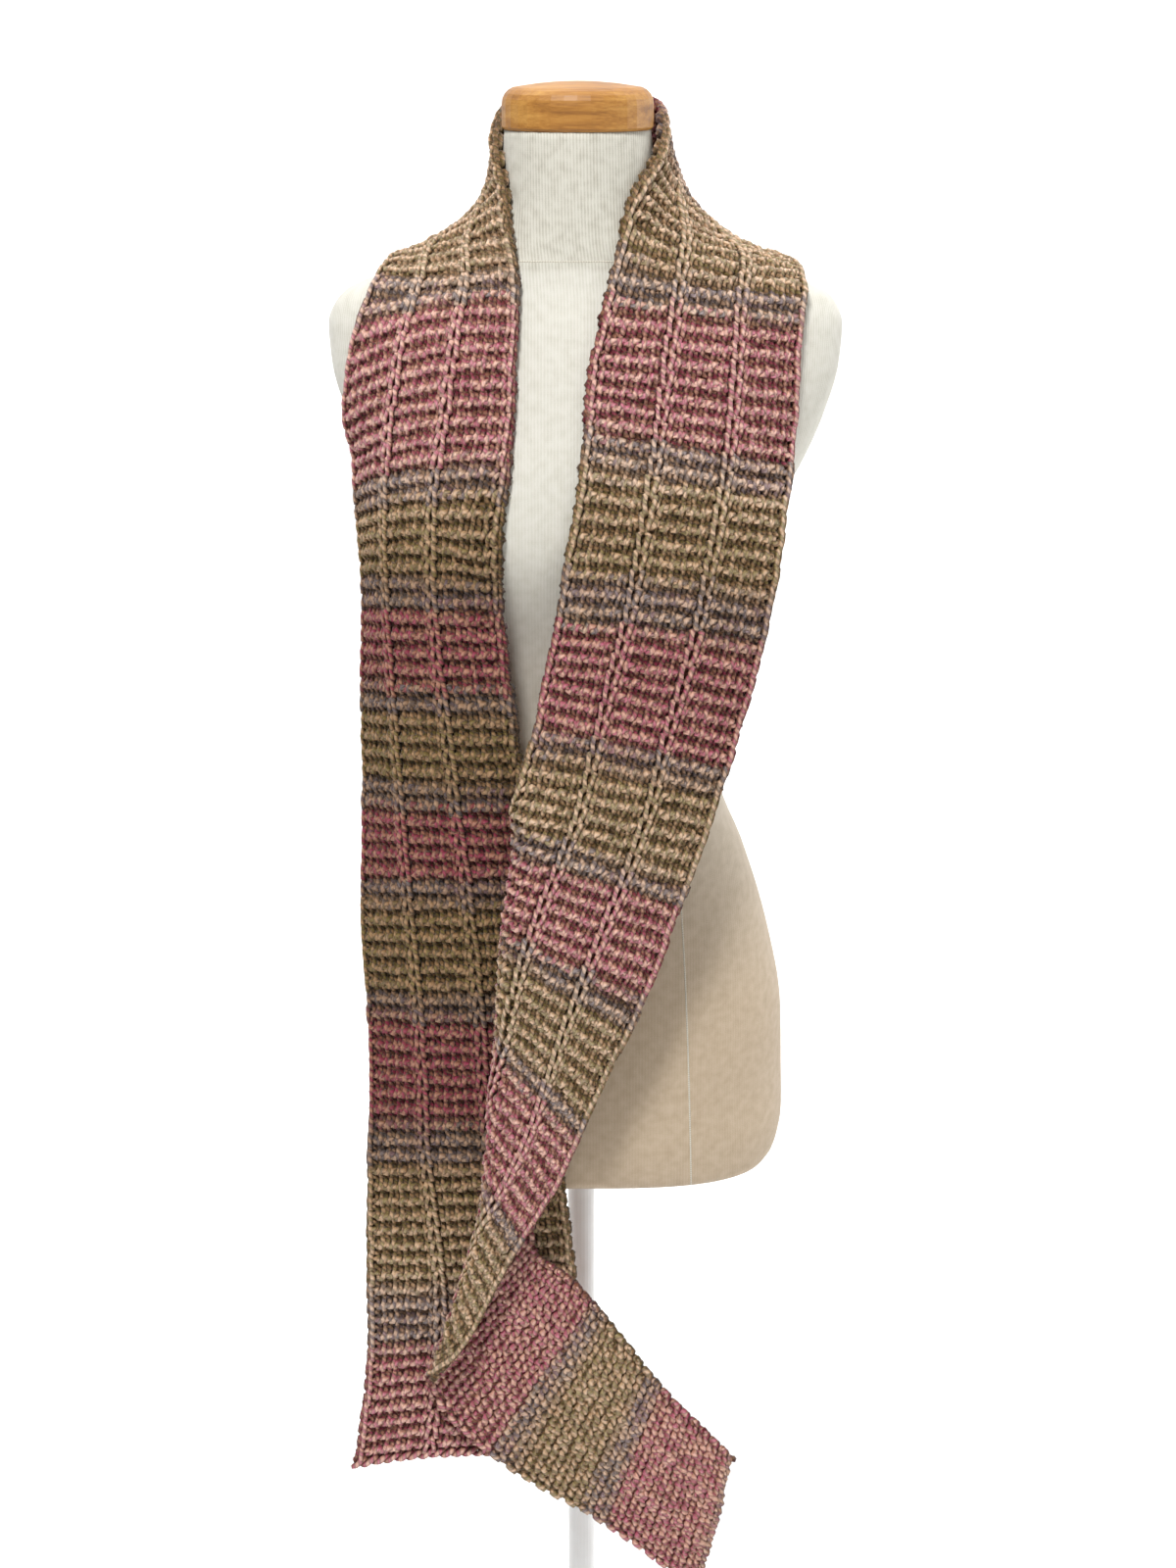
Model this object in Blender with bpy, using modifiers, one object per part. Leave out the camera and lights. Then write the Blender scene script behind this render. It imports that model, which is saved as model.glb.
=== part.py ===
"""A hand-knit scarf hung round the neck of a limbless dress form that stands on a plain base.

+X is the form's left as it faces -Y, +Z is up, and the origin is on the floor under the post.
The scarf is one strip of garter ridges with two slipped-stitch columns. It rises from the end at
-X over the shoulder, stands up behind the neck, comes down at +X, is folded back on itself along
one line and swings out as a tail. Every shape is worked out from the tables below, in millimetres.
"""
import math

import bmesh
import bpy
import numpy as np

MM = 0.001

# ---- the form: cross-sections from the flat underside up to the neck ----
# height, half width, depth in front, depth behind, squareness, centre x
FORM_SECTIONS = (
    (629, 144, 86, 92, 3.10, 3),      # flat underside
    (635, 160, 101, 108, 3.00, 3),
    (649, 169, 107, 118, 2.70, 3),
    (675, 173, 111, 122, 2.50, 3),
    (715, 172, 112, 124, 2.30, 3),    # hips
    (770, 170, 109, 125, 2.30, 3),
    (835, 158, 103, 121, 2.30, 3),
    (911, 135, 95, 103, 2.25, 3),
    (965, 114, 87, 87, 2.20, 3),
    (1030, 106, 83, 79, 2.20, 3),     # waist
    (1090, 114, 88, 84, 2.20, 3),
    (1145, 130, 97, 92, 2.25, 3),
    (1195, 148, 105, 98, 2.30, 4),    # bust line
    (1240, 174, 106, 101, 2.35, 4),
    (1280, 191, 100, 100, 2.40, 4),
    (1320, 202, 90, 96, 2.40, 4),
    (1350, 204, 80, 88, 2.30, 4),     # shoulder plates
    (1372, 194, 71, 80, 2.20, 4),
    (1388, 162, 65, 74, 2.10, 3),
    (1402, 121, 62, 69, 2.05, 2),
    (1420, 84, 60, 65, 2.00, 0),      # root of the neck
    (1450, 63, 58, 61, 2.00, -1),
    (1498, 57, 57, 57, 2.00, -2),     # under the cap
)
FORM_RING_POINTS = 36
# Greatest height between two rings, up to each height: finest where the shoulders turn to the neck.
FORM_RING_STEPS = ((1100, 70), (1350, 30), (1500, 8))
BUST_X, BUST_Z = 80, 1195             # crown of each bust mound
BUST_RISE, BUST_WIDE, BUST_TALL = 22, 58, 60
BUST_RAMP = 60                        # depth over which the mounds fade towards the sides

# ---- the turned cap and the stand ----
CAP_X, CAP_RADIUS, CAP_BOTTOM, CAP_HEIGHT = -2, 59, 1498.3, 36
CAP_EDGE, CAP_CROWN = 13, 4           # radius of the top edge, rise of the domed top
POST_RADIUS, POST_BOTTOM = 12, 24.3
FLANGE_RADIUS, FLANGE_THICK = 42, 11.4
BASE_RADIUS, BASE_THICK, BASE_EDGE = 215, 14, 5
BOSS_RADIUS, BOSS_TOP = 32, 24
SEAT_GAP = 0.3                        # parts that touch keep this gap

# ---- the scarf ----
RIDGE_PITCH = 13.8                    # two rows of knitting
WALL_IN = 2.4                         # plain face, below the drape surface
WALL_OUT = 1.2                        # valleys, above it
RIDGE_RISE = 2.2                      # ridges above the valleys
COLUMN_RISE = 2.9                     # slipped-stitch columns above the valleys
COLUMN_1, COLUMN_2 = 1 / 3, 2 / 3     # their places across the width, from the inner edge
COLUMN_HALF = 0.01
CLEAR_OF_FORM, CLEAR_SOFTNESS = 4.4, 1.5
STRETCH_GAP = 0.3                     # between two stretches of the strip

# Rows across the strip, from the end at -X to the end of the tail. Each has its inner edge (the
# one next to the neck), its middle and its outer edge, as x, y, z. Rows from `curl` on are given
# as they would hang before the fold, which is made afterwards.
# name, inner x, y, z, middle x, y, z, outer x, y, z
SCARF_ROWS = (
    ("left_end", -11, -116, 386, -101, -121, 396, -199, -118, 381),
    ("left_hem", -5, -119, 470, -93, -123, 476, -187, -115, 462),
    ("left_knee", -5, -121, 566, -90, -124, 564, -183, -110, 555),
    ("left_thigh", -16, -122, 668, -101, -122, 665, -180, -98, 653),
    ("left_hip", -23, -123, 793, -107, -118, 789, -177, -83, 778),
    ("left_belly", -32, -122, 903, -115, -112, 899, -180, -68, 883),
    ("left_waist", -41, -120, 985, -122, -106, 981, -176, -52, 968),
    ("left_rib", -52, -117, 1074, -129, -99, 1070, -176, -35, 1054),
    ("left_bust", -60, -113, 1177, -135, -90, 1173, -173, -26, 1157),
    ("left_chest", -52, -106, 1257, -130, -90, 1252, -178, -30, 1225),
    ("left_collarbone", -49, -98, 1302, -123, -88, 1297, -178, -32, 1268),
    ("left_shoulder_front", -48, -80, 1367, -112, -74, 1363, -171, -44, 1340),
    ("left_shoulder", -48, -66, 1400, -104, -56, 1391, -155, -26, 1380),
    ("left_shoulder_top", -54, -55, 1427, -102, -33, 1408, -151, -4, 1393),
    ("left_neck_side", -56, -26, 1467, -84, 2, 1431, -134, 36, 1396),
    ("left_neck_back", -61, 8, 1502, -72, 36, 1444, -104, 70, 1388),
    ("neck_left", -55, 42, 1518, -61, 62, 1446, -70, 92, 1372),
    ("nape", 0, 69, 1522, 2, 76, 1447, 2, 99, 1370),
    ("neck_right", 53, 42, 1522, 63, 62, 1448, 74, 92, 1372),
    ("right_neck_back", 62, 10, 1511, 79, 36, 1448, 114, 70, 1389),
    ("right_neck_side", 58, -26, 1481, 87, 2, 1435, 152, 34, 1395),
    ("right_shoulder_top", 37, -46, 1456, 100, -22, 1409, 174, -2, 1390),
    ("right_shoulder", 30, -60, 1420, 101, -50, 1393, 172, -24, 1379),
    ("right_shoulder_front", 15, -80, 1363, 96, -75, 1355, 168, -52, 1345),
    ("right_collarbone", 3, -103, 1286, 86, -104, 1270, 165, -76, 1253),
    ("right_bust", -8, -114, 1206, 75, -127, 1199, 155, -105, 1184),
    ("right_rib", -20, -120, 1134, 62, -134, 1130, 143, -116, 1112),
    ("right_waist", -36, -126, 1054, 39, -141, 1042, 118, -126, 1018),
    ("curl", -48, -138, 1012, 30, -150, 1002, 106, -136, 982),
    ("fold_1", -66, -152, 971, 12, -155, 948, 85, -145, 922),
    ("fold_2", -91, -157, 899, -21, -158, 862, 49, -152, 823),
    ("fold_3", -95, -158, 829, -45, -159, 774, 3, -155, 719),
    ("fold_4", -103, -158, 778, -61, -159, 722, -19, -157, 666),
    ("fold_5", -113, -158, 728, -81, -159, 673, -49, -158, 616),
    ("fold_6", -126, -158, 672, -103, -159, 612, -80, -158, 553),
    ("fold_7", -141, -158, 626, -126, -158, 562, -112, -158, 500),
    ("tail_1", -170, -157, 621, -165, -158, 541, -160, -157, 460),
    ("tail_2", -212, -156, 614, -221, -160, 527, -232, -156, 440),
    ("tail_3", -284, -157, 598, -305, -166, 518, -326, -158, 438),
    ("tail_end", -391, -158, 567, -419, -172, 494, -447, -161, 422),
)
# Last row of each stretch; the next one starts there.
STRETCHES = (
    ("scarf_left_front", "left_end", "left_shoulder_top"),
    ("scarf_neck", "left_shoulder_top", "right_shoulder_top"),
    ("scarf_right_front", "right_shoulder_top", "right_waist"),
    ("scarf_right_tail", "right_waist", "tail_end"),
)
# The line that the strip is folded back along: height, x, radius of the bend.
FOLD_LINE = (
    (300, -170, 9.5),
    (502, -109, 9.5),
    (627, -72, 9.5),
    (733, -61, 9.5),
    (812, -54, 9.5),
    (889, -49, 9.5),
    (965, -39, 10.0),
    (1022, -45, 10.0),
    (1100, -60, 10.0),
)
FOLD_SEARCH = 8                       # steps that find the nearest point of the fold line
PROBE = 0.1                           # half the step that a surface's slope is measured over

# Places across the width where the wall has points: the outer face, then the plain inner face.
OPEN_OUTER = (0, 0.14, 0.29, COLUMN_1, 0.375, 0.5, 0.625, COLUMN_2, 0.71, 0.86, 1)
OPEN_INNER = (0, 0.14, COLUMN_1, 0.5, COLUMN_2, 0.86, 1)
FOLDED_PLACES = tuple(k / 12 for k in range(13))

# name, colour (linear), roughness, metallic
FINISHES = {
    "cotton jersey": ((0.74, 0.70, 0.60), 0.9, 0.0),
    "honey beech": ((0.55, 0.27, 0.08), 0.35, 0.0),
    "white enamel": ((0.85, 0.85, 0.84), 0.4, 0.0),
    "camel and rose yarn": ((0.36, 0.20, 0.15), 0.95, 0.0),
}


# ---------------------------------------------------------------- curves
def natural_spline(knots, values):
    """A smooth curve through `values` (one row a knot), as a function of an array of places."""
    knots = np.asarray(knots, float)
    values = np.asarray(values, float).reshape(len(knots), -1)
    step = np.diff(knots)
    rows = np.eye(len(knots))
    right = np.zeros_like(values)
    for k in range(1, len(knots) - 1):
        rows[k, k - 1:k + 2] = step[k - 1], 2 * (step[k - 1] + step[k]), step[k]
        slopes = (values[k + 1] - values[k]) / step[k] - (values[k] - values[k - 1]) / step[k - 1]
        right[k] = 6 * slopes
    bend = np.linalg.solve(rows, right)

    def at(place):
        place = np.asarray(place, float)
        k = np.clip(np.searchsorted(knots, place) - 1, 0, len(step) - 1)
        along = (place - knots[k])[..., None]
        length = step[k][..., None]
        slope = (values[k + 1] - values[k]) / length - length * (2 * bend[k] + bend[k + 1]) / 6
        cubic = (bend[k + 1] - bend[k]) / (6 * length)
        return values[k] + along * (slope + along * (bend[k] / 2 + along * cubic))
    return at


def level_curve(knots, values):
    """A curve through `values` that never swings past them, as a function of an array of places."""
    knots = np.asarray(knots, float)
    values = np.asarray(values, float)
    step = np.diff(knots)
    rise = np.diff(values) / step
    slope = np.zeros_like(values)
    slope[0], slope[-1] = rise[0], rise[-1]
    for k in range(1, len(knots) - 1):
        if rise[k - 1] * rise[k] > 0:
            before, after = 2 * step[k] + step[k - 1], step[k] + 2 * step[k - 1]
            slope[k] = (before + after) / (before / rise[k - 1] + after / rise[k])

    def at(place):
        place = np.clip(place, knots[0], knots[-1])
        k = np.clip(np.searchsorted(knots, place) - 1, 0, len(step) - 1)
        t = (place - knots[k]) / step[k]
        start = (2 * t**3 - 3 * t**2 + 1) * values[k] + (t**3 - 2 * t**2 + t) * step[k] * slope[k]
        end = (3 * t**2 - 2 * t**3) * values[k + 1] + (t**3 - t**2) * step[k] * slope[k + 1]
        return start + end
    return at


# ---------------------------------------------------------------- the form's surface
FORM_HEIGHTS = [row[0] for row in FORM_SECTIONS]
FORM_HALF, FORM_FRONT, FORM_BACK, FORM_SQUARE, FORM_CENTRE = (
    level_curve(FORM_HEIGHTS, [row[k] for row in FORM_SECTIONS]) for k in range(1, 6))


def bust(x, y, z):
    """How far the mounds push the front out."""
    mounds = sum(np.exp(-((x - side * BUST_X) / BUST_WIDE)**2) for side in (-1, 1))
    return BUST_RISE * mounds * np.exp(-((z - BUST_Z) / BUST_TALL)**2) * np.clip(-y / BUST_RAMP, 0, 1)


def form_level(points):
    """Below zero inside the form, zero on it and above zero outside."""
    x, y, z = points[..., 0], points[..., 1], points[..., 2]
    depth = np.where(y < 0, FORM_FRONT(z), FORM_BACK(z))
    square = FORM_SQUARE(z)
    across = np.abs((x - FORM_CENTRE(z)) / FORM_HALF(z))**square
    along = np.abs((y + bust(x, y, z)) / depth)**square
    return (across + along + 1e-12)**(1 / square) - 1


def lift_clear(points):
    """The points, moved out where they come closer to the form than the cloth may."""
    slope = np.zeros_like(points)
    for axis, probe in enumerate(np.eye(3) * PROBE):
        slope[..., axis] = (form_level(points + probe) - form_level(points - probe)) / (2 * PROBE)
    steep = np.linalg.norm(slope, axis=-1)
    short = CLEAR_OF_FORM - form_level(points) / steep
    push = CLEAR_SOFTNESS * np.logaddexp(0, short / CLEAR_SOFTNESS)
    return points + (push / steep)[..., None] * slope


# ---------------------------------------------------------------- the scarf's surface
def row_points(column):
    return np.array([row[column:column + 3] for row in SCARF_ROWS], float)


ROW_PLACES = np.concatenate(([0], np.cumsum(np.linalg.norm(np.diff(row_points(4), axis=0), axis=1))))
INNER_EDGE, MIDDLE, OUTER_EDGE = (natural_spline(ROW_PLACES, row_points(k)) for k in (1, 4, 7))
ROW_PLACE = {row[0]: place for row, place in zip(SCARF_ROWS, ROW_PLACES)}
FOLD_HEIGHTS = [row[0] for row in FOLD_LINE]
FOLD_X = natural_spline(FOLD_HEIGHTS, [row[1] for row in FOLD_LINE])
FOLD_RADIUS = natural_spline(FOLD_HEIGHTS, [row[2] for row in FOLD_LINE])


def fold_back(points):
    """Rolls whatever hangs past the fold line round a small bend and lays it behind."""
    x, z = points[..., 0], points[..., 2]
    height = np.clip(z, FOLD_HEIGHTS[0], FOLD_HEIGHTS[-1])
    for _ in range(FOLD_SEARCH):
        slope = (FOLD_X(height + PROBE) - FOLD_X(height - PROBE))[..., 0] / (2 * PROBE)
        step = ((x - FOLD_X(height)[..., 0]) * slope + z - height) / (1 + slope**2)
        height = np.clip(height + step, FOLD_HEIGHTS[0], FOLD_HEIGHTS[-1])
    root = np.sqrt(1 + slope**2)
    out_x, out_z = -1 / root, slope / root
    past = (x - FOLD_X(height)[..., 0]) * out_x + (z - height) * out_z
    radius = FOLD_RADIUS(height)[..., 0]
    angle = np.clip(past / radius, 0, math.pi)
    reach = np.where(past > 0, radius * np.sin(angle) - np.maximum(past - math.pi * radius, 0), past)
    folded = points.copy()
    folded[..., 0] = points[..., 0] + (reach - past) * out_x
    folded[..., 1] = points[..., 1] + radius * (1 - np.cos(angle))
    folded[..., 2] = points[..., 2] + (reach - past) * out_z
    return folded


def drape(place, across):
    """Points of the scarf's middle surface: `place` along it from the end at -X, `across` 0 to 1."""
    place, across = np.broadcast_arrays(np.asarray(place, float), np.asarray(across, float))
    u = across[..., None]
    inner, middle, outer = INNER_EDGE(place), MIDDLE(place), OUTER_EDGE(place)
    flat = (inner * (2 * u - 1) * (u - 1) + middle * 4 * u * (1 - u) + outer * u * (2 * u - 1))
    hanging = place > ROW_PLACE["right_waist"]
    points = np.where(hanging[..., None], fold_back(flat), flat)
    return lift_clear(points)


def drape_normal(place, across):
    """The direction that the right side of the knitting faces."""
    along = drape(place + 1.0, across) - drape(place - 1.0, across)
    wide = drape(place, np.minimum(across + 0.01, 1)) - drape(place, np.maximum(across - 0.01, 0))
    normal = np.cross(along, wide)
    return normal / np.linalg.norm(normal, axis=-1, keepdims=True)


def length_table():
    """Places along the strip and the true length up to each, measured down its middle."""
    places = np.linspace(0, ROW_PLACES[-1], 1201)
    middle = MIDDLE(places)
    lengths = np.concatenate(([0], np.cumsum(np.linalg.norm(np.diff(middle, axis=0), axis=1))))
    return places, lengths


# ---------------------------------------------------------------- making meshes
def new_object(name, mesh, collection, finish, smooth_angle=None):
    thing = bpy.data.objects.new(name, mesh)
    collection.objects.link(thing)
    mesh.materials.append(finish)
    if smooth_angle is not None:
        mesh.shade_smooth()
        mesh.set_sharp_from_angle(angle=math.radians(smooth_angle))
    return thing


def make_finish(name):
    colour, roughness, metallic = FINISHES[name]
    finish = bpy.data.materials.new(name)
    finish.use_nodes = True
    shader = finish.node_tree.nodes["Principled BSDF"]
    shader.inputs["Base Color"].default_value = (*colour, 1)
    shader.inputs["Roughness"].default_value = roughness
    shader.inputs["Metallic"].default_value = metallic
    return finish


def mesh_from_bmesh(name, shape):
    bmesh.ops.recalc_face_normals(shape, faces=shape.faces)
    mesh = bpy.data.meshes.new(name)
    shape.to_mesh(mesh)
    shape.free()
    return mesh


def form_ring(height):
    """One closed cross-section of the form."""
    angles = np.arange(FORM_RING_POINTS) * 2 * math.pi / FORM_RING_POINTS
    cos, sin = np.cos(angles), np.sin(angles)
    depth = np.where(sin < 0, FORM_FRONT(height), FORM_BACK(height))
    square = float(FORM_SQUARE(height))
    # Steps along the section stay even where it is squarer than an ellipse.
    across = np.sign(cos) * np.abs(cos)**(2 / square) * FORM_HALF(height)
    along = np.sign(sin) * np.abs(sin)**(2 / square) * depth
    x = across + FORM_CENTRE(height)
    y = along - bust(x, along, height)
    return np.stack([x, y, np.full_like(x, height)], axis=-1) * MM


def form_heights():
    heights = [FORM_HEIGHTS[0]]
    for low, high in zip(FORM_HEIGHTS, FORM_HEIGHTS[1:]):
        step = next(step for limit, step in FORM_RING_STEPS if high <= limit)
        parts = math.ceil((high - low) / step)
        heights += [low + (high - low) * (k + 1) / parts for k in range(parts)]
    return heights


def make_form_torso(collection, finish):
    """The torso: a loft through its sections, closed flat below and under the cap."""
    shape = bmesh.new()
    rings = [[shape.verts.new(point) for point in form_ring(height)] for height in form_heights()]
    for low, high in zip(rings, rings[1:]):
        for k in range(FORM_RING_POINTS):
            after = (k + 1) % FORM_RING_POINTS
            shape.faces.new((low[k], low[after], high[after], high[k]))
    shape.faces.new(rings[0])
    shape.faces.new(rings[-1])
    mesh = mesh_from_bmesh("form_torso", shape)
    new_object("form_torso", mesh, collection, finish, smooth_angle=40)


def turned(name, profile, steps, centre_x, collection, finish):
    """A solid turned about a vertical axis from a profile of radius and height, top to bottom."""
    mesh = bpy.data.meshes.new(name)
    points = [(radius * MM, 0, height * MM) for radius, height in profile]
    mesh.from_pydata(points, [(k, k + 1) for k in range(len(points) - 1)], [])
    thing = new_object(name, mesh, collection, finish)
    thing.location.x = centre_x * MM
    screw = thing.modifiers.new("turn", "SCREW")
    screw.steps = screw.render_steps = steps
    screw.use_merge_vertices = True
    screw.merge_threshold = 0.00001
    screw.use_smooth_shade = True
    return thing


def rounded_edge(radius, centre_radius, centre_height, start, end, steps):
    """Points of an arc in a turned profile, from `start` to `end` degrees up from level."""
    angles = [math.radians(start + (end - start) * k / steps) for k in range(steps + 1)]
    return [(centre_radius + radius * math.cos(a), centre_height + radius * math.sin(a)) for a in angles]


def make_neck_cap(collection, finish):
    top = CAP_BOTTOM + CAP_HEIGHT
    flat_radius = CAP_RADIUS - CAP_EDGE
    dome = [(flat_radius * k / 3, top - CAP_CROWN * (k / 3)**2) for k in range(3)]
    edge = rounded_edge(CAP_EDGE, flat_radius, top - CAP_CROWN - CAP_EDGE, 90, 0, 5)
    foot = [(CAP_RADIUS, CAP_BOTTOM + 2), (CAP_RADIUS - 1.5, CAP_BOTTOM), (0, CAP_BOTTOM)]
    turned("neck_cap", dome + edge + foot, 36, CAP_X, collection, finish)


def make_stand_base(collection, finish):
    plate = rounded_edge(BASE_EDGE, BASE_RADIUS - BASE_EDGE, BASE_THICK - BASE_EDGE, 90, 0, 3)
    boss = [(0, BOSS_TOP), (BOSS_RADIUS - 4, BOSS_TOP), (BOSS_RADIUS, BOSS_TOP - 4), (BOSS_RADIUS, BASE_THICK)]
    foot = [(BASE_RADIUS, 1), (BASE_RADIUS - 1, 0), (0, 0)]
    turned("stand_base", boss + plate + foot, 44, 0, collection, finish)


def make_stand_post(collection, finish):
    """The post, with the round plate that the form is screwed to on top of it."""
    under = FORM_HEIGHTS[0] - SEAT_GAP
    plate_bottom = under - FLANGE_THICK
    profile = [(0, under), (FLANGE_RADIUS - 2, under), (FLANGE_RADIUS, under - 2)]
    profile += [(FLANGE_RADIUS, plate_bottom + 3), (FLANGE_RADIUS - 8, plate_bottom)]
    profile += [(POST_RADIUS + 6, plate_bottom), (POST_RADIUS, plate_bottom - 8)]
    profile += [(POST_RADIUS, POST_BOTTOM), (0, POST_BOTTOM)]
    turned("stand_post", profile, 24, 0, collection, finish)


def wall_relief(ring, rings, across):
    """Height of the outer face above the drape surface: every other ring is a ridge, the ends are plain."""
    if ring in (0, rings - 1):
        return WALL_OUT
    if min(abs(across - COLUMN_1), abs(across - COLUMN_2)) < COLUMN_HALF:
        return WALL_OUT + COLUMN_RISE
    return WALL_OUT + (RIDGE_RISE if ring % 2 else 0)


def make_scarf_stretch(name, first, last, collection, finish):
    """A wall of knitting between two rows: ridged outside, plain inside."""
    folded = name == "scarf_right_tail"
    outer_places = FOLDED_PLACES if folded else OPEN_OUTER
    inner_places = FOLDED_PLACES if folded else OPEN_INNER
    places, lengths = length_table()
    start, end = np.interp([ROW_PLACE[first], ROW_PLACE[last]], places, lengths)
    start += STRETCH_GAP / 2 if start > 0 else 0
    end -= STRETCH_GAP / 2 if last != SCARF_ROWS[-1][0] else 0
    ridges = round((end - start) / RIDGE_PITCH)
    rings = 2 * ridges + 1
    shape = bmesh.new()
    outer, inner = [], []
    for ring in range(rings):
        place = float(np.interp(start + (end - start) * ring / (2 * ridges), lengths, places))
        across = np.array(outer_places)
        relief = np.array([wall_relief(ring, rings, u) for u in outer_places])[:, None]
        face = drape(place, across) + drape_normal(place, across) * relief
        outer.append([shape.verts.new(point * MM) for point in face])
        if ring % 2 == 0:
            across = np.array(inner_places)
            back = drape(place, across) - drape_normal(place, across) * WALL_IN
            inner.append([shape.verts.new(point * MM) for point in back])
    for low, high in zip(outer, outer[1:]):
        for k in range(len(outer_places) - 1):
            shape.faces.new((low[k], low[k + 1], high[k + 1], high[k]))
    for ridge, (low, high) in enumerate(zip(inner, inner[1:])):
        for k in range(len(inner_places) - 1):
            shape.faces.new((low[k], low[k + 1], high[k + 1], high[k]))
        for side in (0, -1):
            start_edge, crest, end_edge = (outer[2 * ridge + k][side] for k in range(3))
            shape.faces.new((low[side], start_edge, crest))
            shape.faces.new((low[side], crest, high[side]))
            shape.faces.new((high[side], crest, end_edge))
    for ring, back in ((outer[0], inner[0]), (outer[-1], inner[-1])):
        close_end(shape, ring, back, outer_places, inner_places)
    mesh = mesh_from_bmesh(name, shape)
    new_object(name, mesh, collection, finish, smooth_angle=60)


def close_end(shape, outer, inner, outer_places, inner_places):
    """Triangles between the two faces of the wall where a stretch ends."""
    i = k = 0
    while i < len(outer) - 1 or k < len(inner) - 1:
        outer_next = outer_places[i + 1] if i < len(outer) - 1 else math.inf
        inner_next = inner_places[k + 1] if k < len(inner) - 1 else math.inf
        if outer_next <= inner_next:
            shape.faces.new((outer[i], outer[i + 1], inner[k]))
            i += 1
        else:
            shape.faces.new((outer[i], inner[k + 1], inner[k]))
            k += 1


def main():
    for thing in list(bpy.data.objects):
        bpy.data.objects.remove(thing)
    collection = bpy.data.collections.new("knit scarf on a dress form")
    bpy.context.scene.collection.children.link(collection)
    finishes = {name: make_finish(name) for name in FINISHES}
    make_form_torso(collection, finishes["cotton jersey"])
    make_neck_cap(collection, finishes["honey beech"])
    make_stand_base(collection, finishes["white enamel"])
    make_stand_post(collection, finishes["white enamel"])
    for name, first, last in STRETCHES:
        make_scarf_stretch(name, first, last, collection, finishes["camel and rose yarn"])


main()
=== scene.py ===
"""Looks for a hand-knit scarf hung round the neck of a limbless dress form.

The scarf is worked stitch by stitch: every course of yarn is a tube that follows its loops over
the drape. Sizes are in millimetres until they become mesh points, which are in metres.
+X is to the right of the camera, -Y faces it, and +Z is up.
"""
import math

import bpy
import numpy as np
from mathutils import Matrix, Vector


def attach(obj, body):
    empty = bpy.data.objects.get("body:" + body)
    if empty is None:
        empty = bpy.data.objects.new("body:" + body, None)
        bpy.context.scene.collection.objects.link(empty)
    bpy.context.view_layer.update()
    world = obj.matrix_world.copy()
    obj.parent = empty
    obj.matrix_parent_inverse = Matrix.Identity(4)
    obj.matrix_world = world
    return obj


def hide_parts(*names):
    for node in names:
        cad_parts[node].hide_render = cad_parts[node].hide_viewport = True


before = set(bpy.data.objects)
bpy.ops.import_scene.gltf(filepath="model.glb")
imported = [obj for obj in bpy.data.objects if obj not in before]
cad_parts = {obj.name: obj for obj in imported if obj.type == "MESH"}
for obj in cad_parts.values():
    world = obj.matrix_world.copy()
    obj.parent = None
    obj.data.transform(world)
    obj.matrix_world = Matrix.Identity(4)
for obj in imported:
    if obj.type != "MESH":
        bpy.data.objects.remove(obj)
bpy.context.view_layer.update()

MM = 0.001
TURN = 2 * math.pi

# ---- the form: the sections of the CAD part ----
# height, half width, depth in front, depth behind, squareness, centre x
FORM_SECTIONS = (
    (629, 144, 86, 92, 3.10, 3),
    (635, 160, 101, 108, 3.00, 3),
    (649, 169, 107, 118, 2.70, 3),
    (675, 173, 111, 122, 2.50, 3),
    (715, 172, 112, 124, 2.30, 3),    # hips
    (770, 170, 109, 125, 2.30, 3),
    (835, 158, 103, 121, 2.30, 3),
    (911, 135, 95, 103, 2.25, 3),
    (965, 114, 87, 87, 2.20, 3),
    (1030, 106, 83, 79, 2.20, 3),     # waist
    (1090, 114, 88, 84, 2.20, 3),
    (1145, 130, 97, 92, 2.25, 3),
    (1195, 148, 105, 98, 2.30, 4),    # bust line
    (1240, 174, 106, 101, 2.35, 4),
    (1280, 191, 100, 100, 2.40, 4),
    (1320, 202, 90, 96, 2.40, 4),
    (1350, 204, 80, 88, 2.30, 4),     # shoulder plates
    (1372, 194, 71, 80, 2.20, 4),
    (1388, 162, 65, 74, 2.10, 3),
    (1402, 121, 62, 69, 2.05, 2),
    (1420, 84, 60, 65, 2.00, 0),      # root of the neck
    (1450, 63, 58, 61, 2.00, -1),
    (1498, 57, 57, 57, 2.00, -2),     # under the cap
)
BUST_X, BUST_Z = 80, 1195
BUST_RISE, BUST_WIDE, BUST_TALL = 22, 58, 60
BUST_RAMP = 60
FORM_AROUND = 100                     # the jersey's grid round the form
FORM_RINGS = ((629, 715, 13), (715, 1300, 47), (1300, 1498, 39))   # and up it: from, to, steps
PRINCESS_SEAM = ((629, 91), (770, 86), (880, 80), (1000, 66), (1090, 66), (1180, 78))   # height, x
NECK_SEAM, NECK_SEAM_DIP = 1399, 4    # height at the sides, and how much lower it is at the back
PRINCESS_THICK, NECK_SEAM_THICK, SEAM_SUNK = 0.9, 0.8, 0.4
PRINCESS_POINTS, NECK_SEAM_POINTS = 92, 181
HEM_GAP = 2                           # the princess seams start this far above the hem

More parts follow.
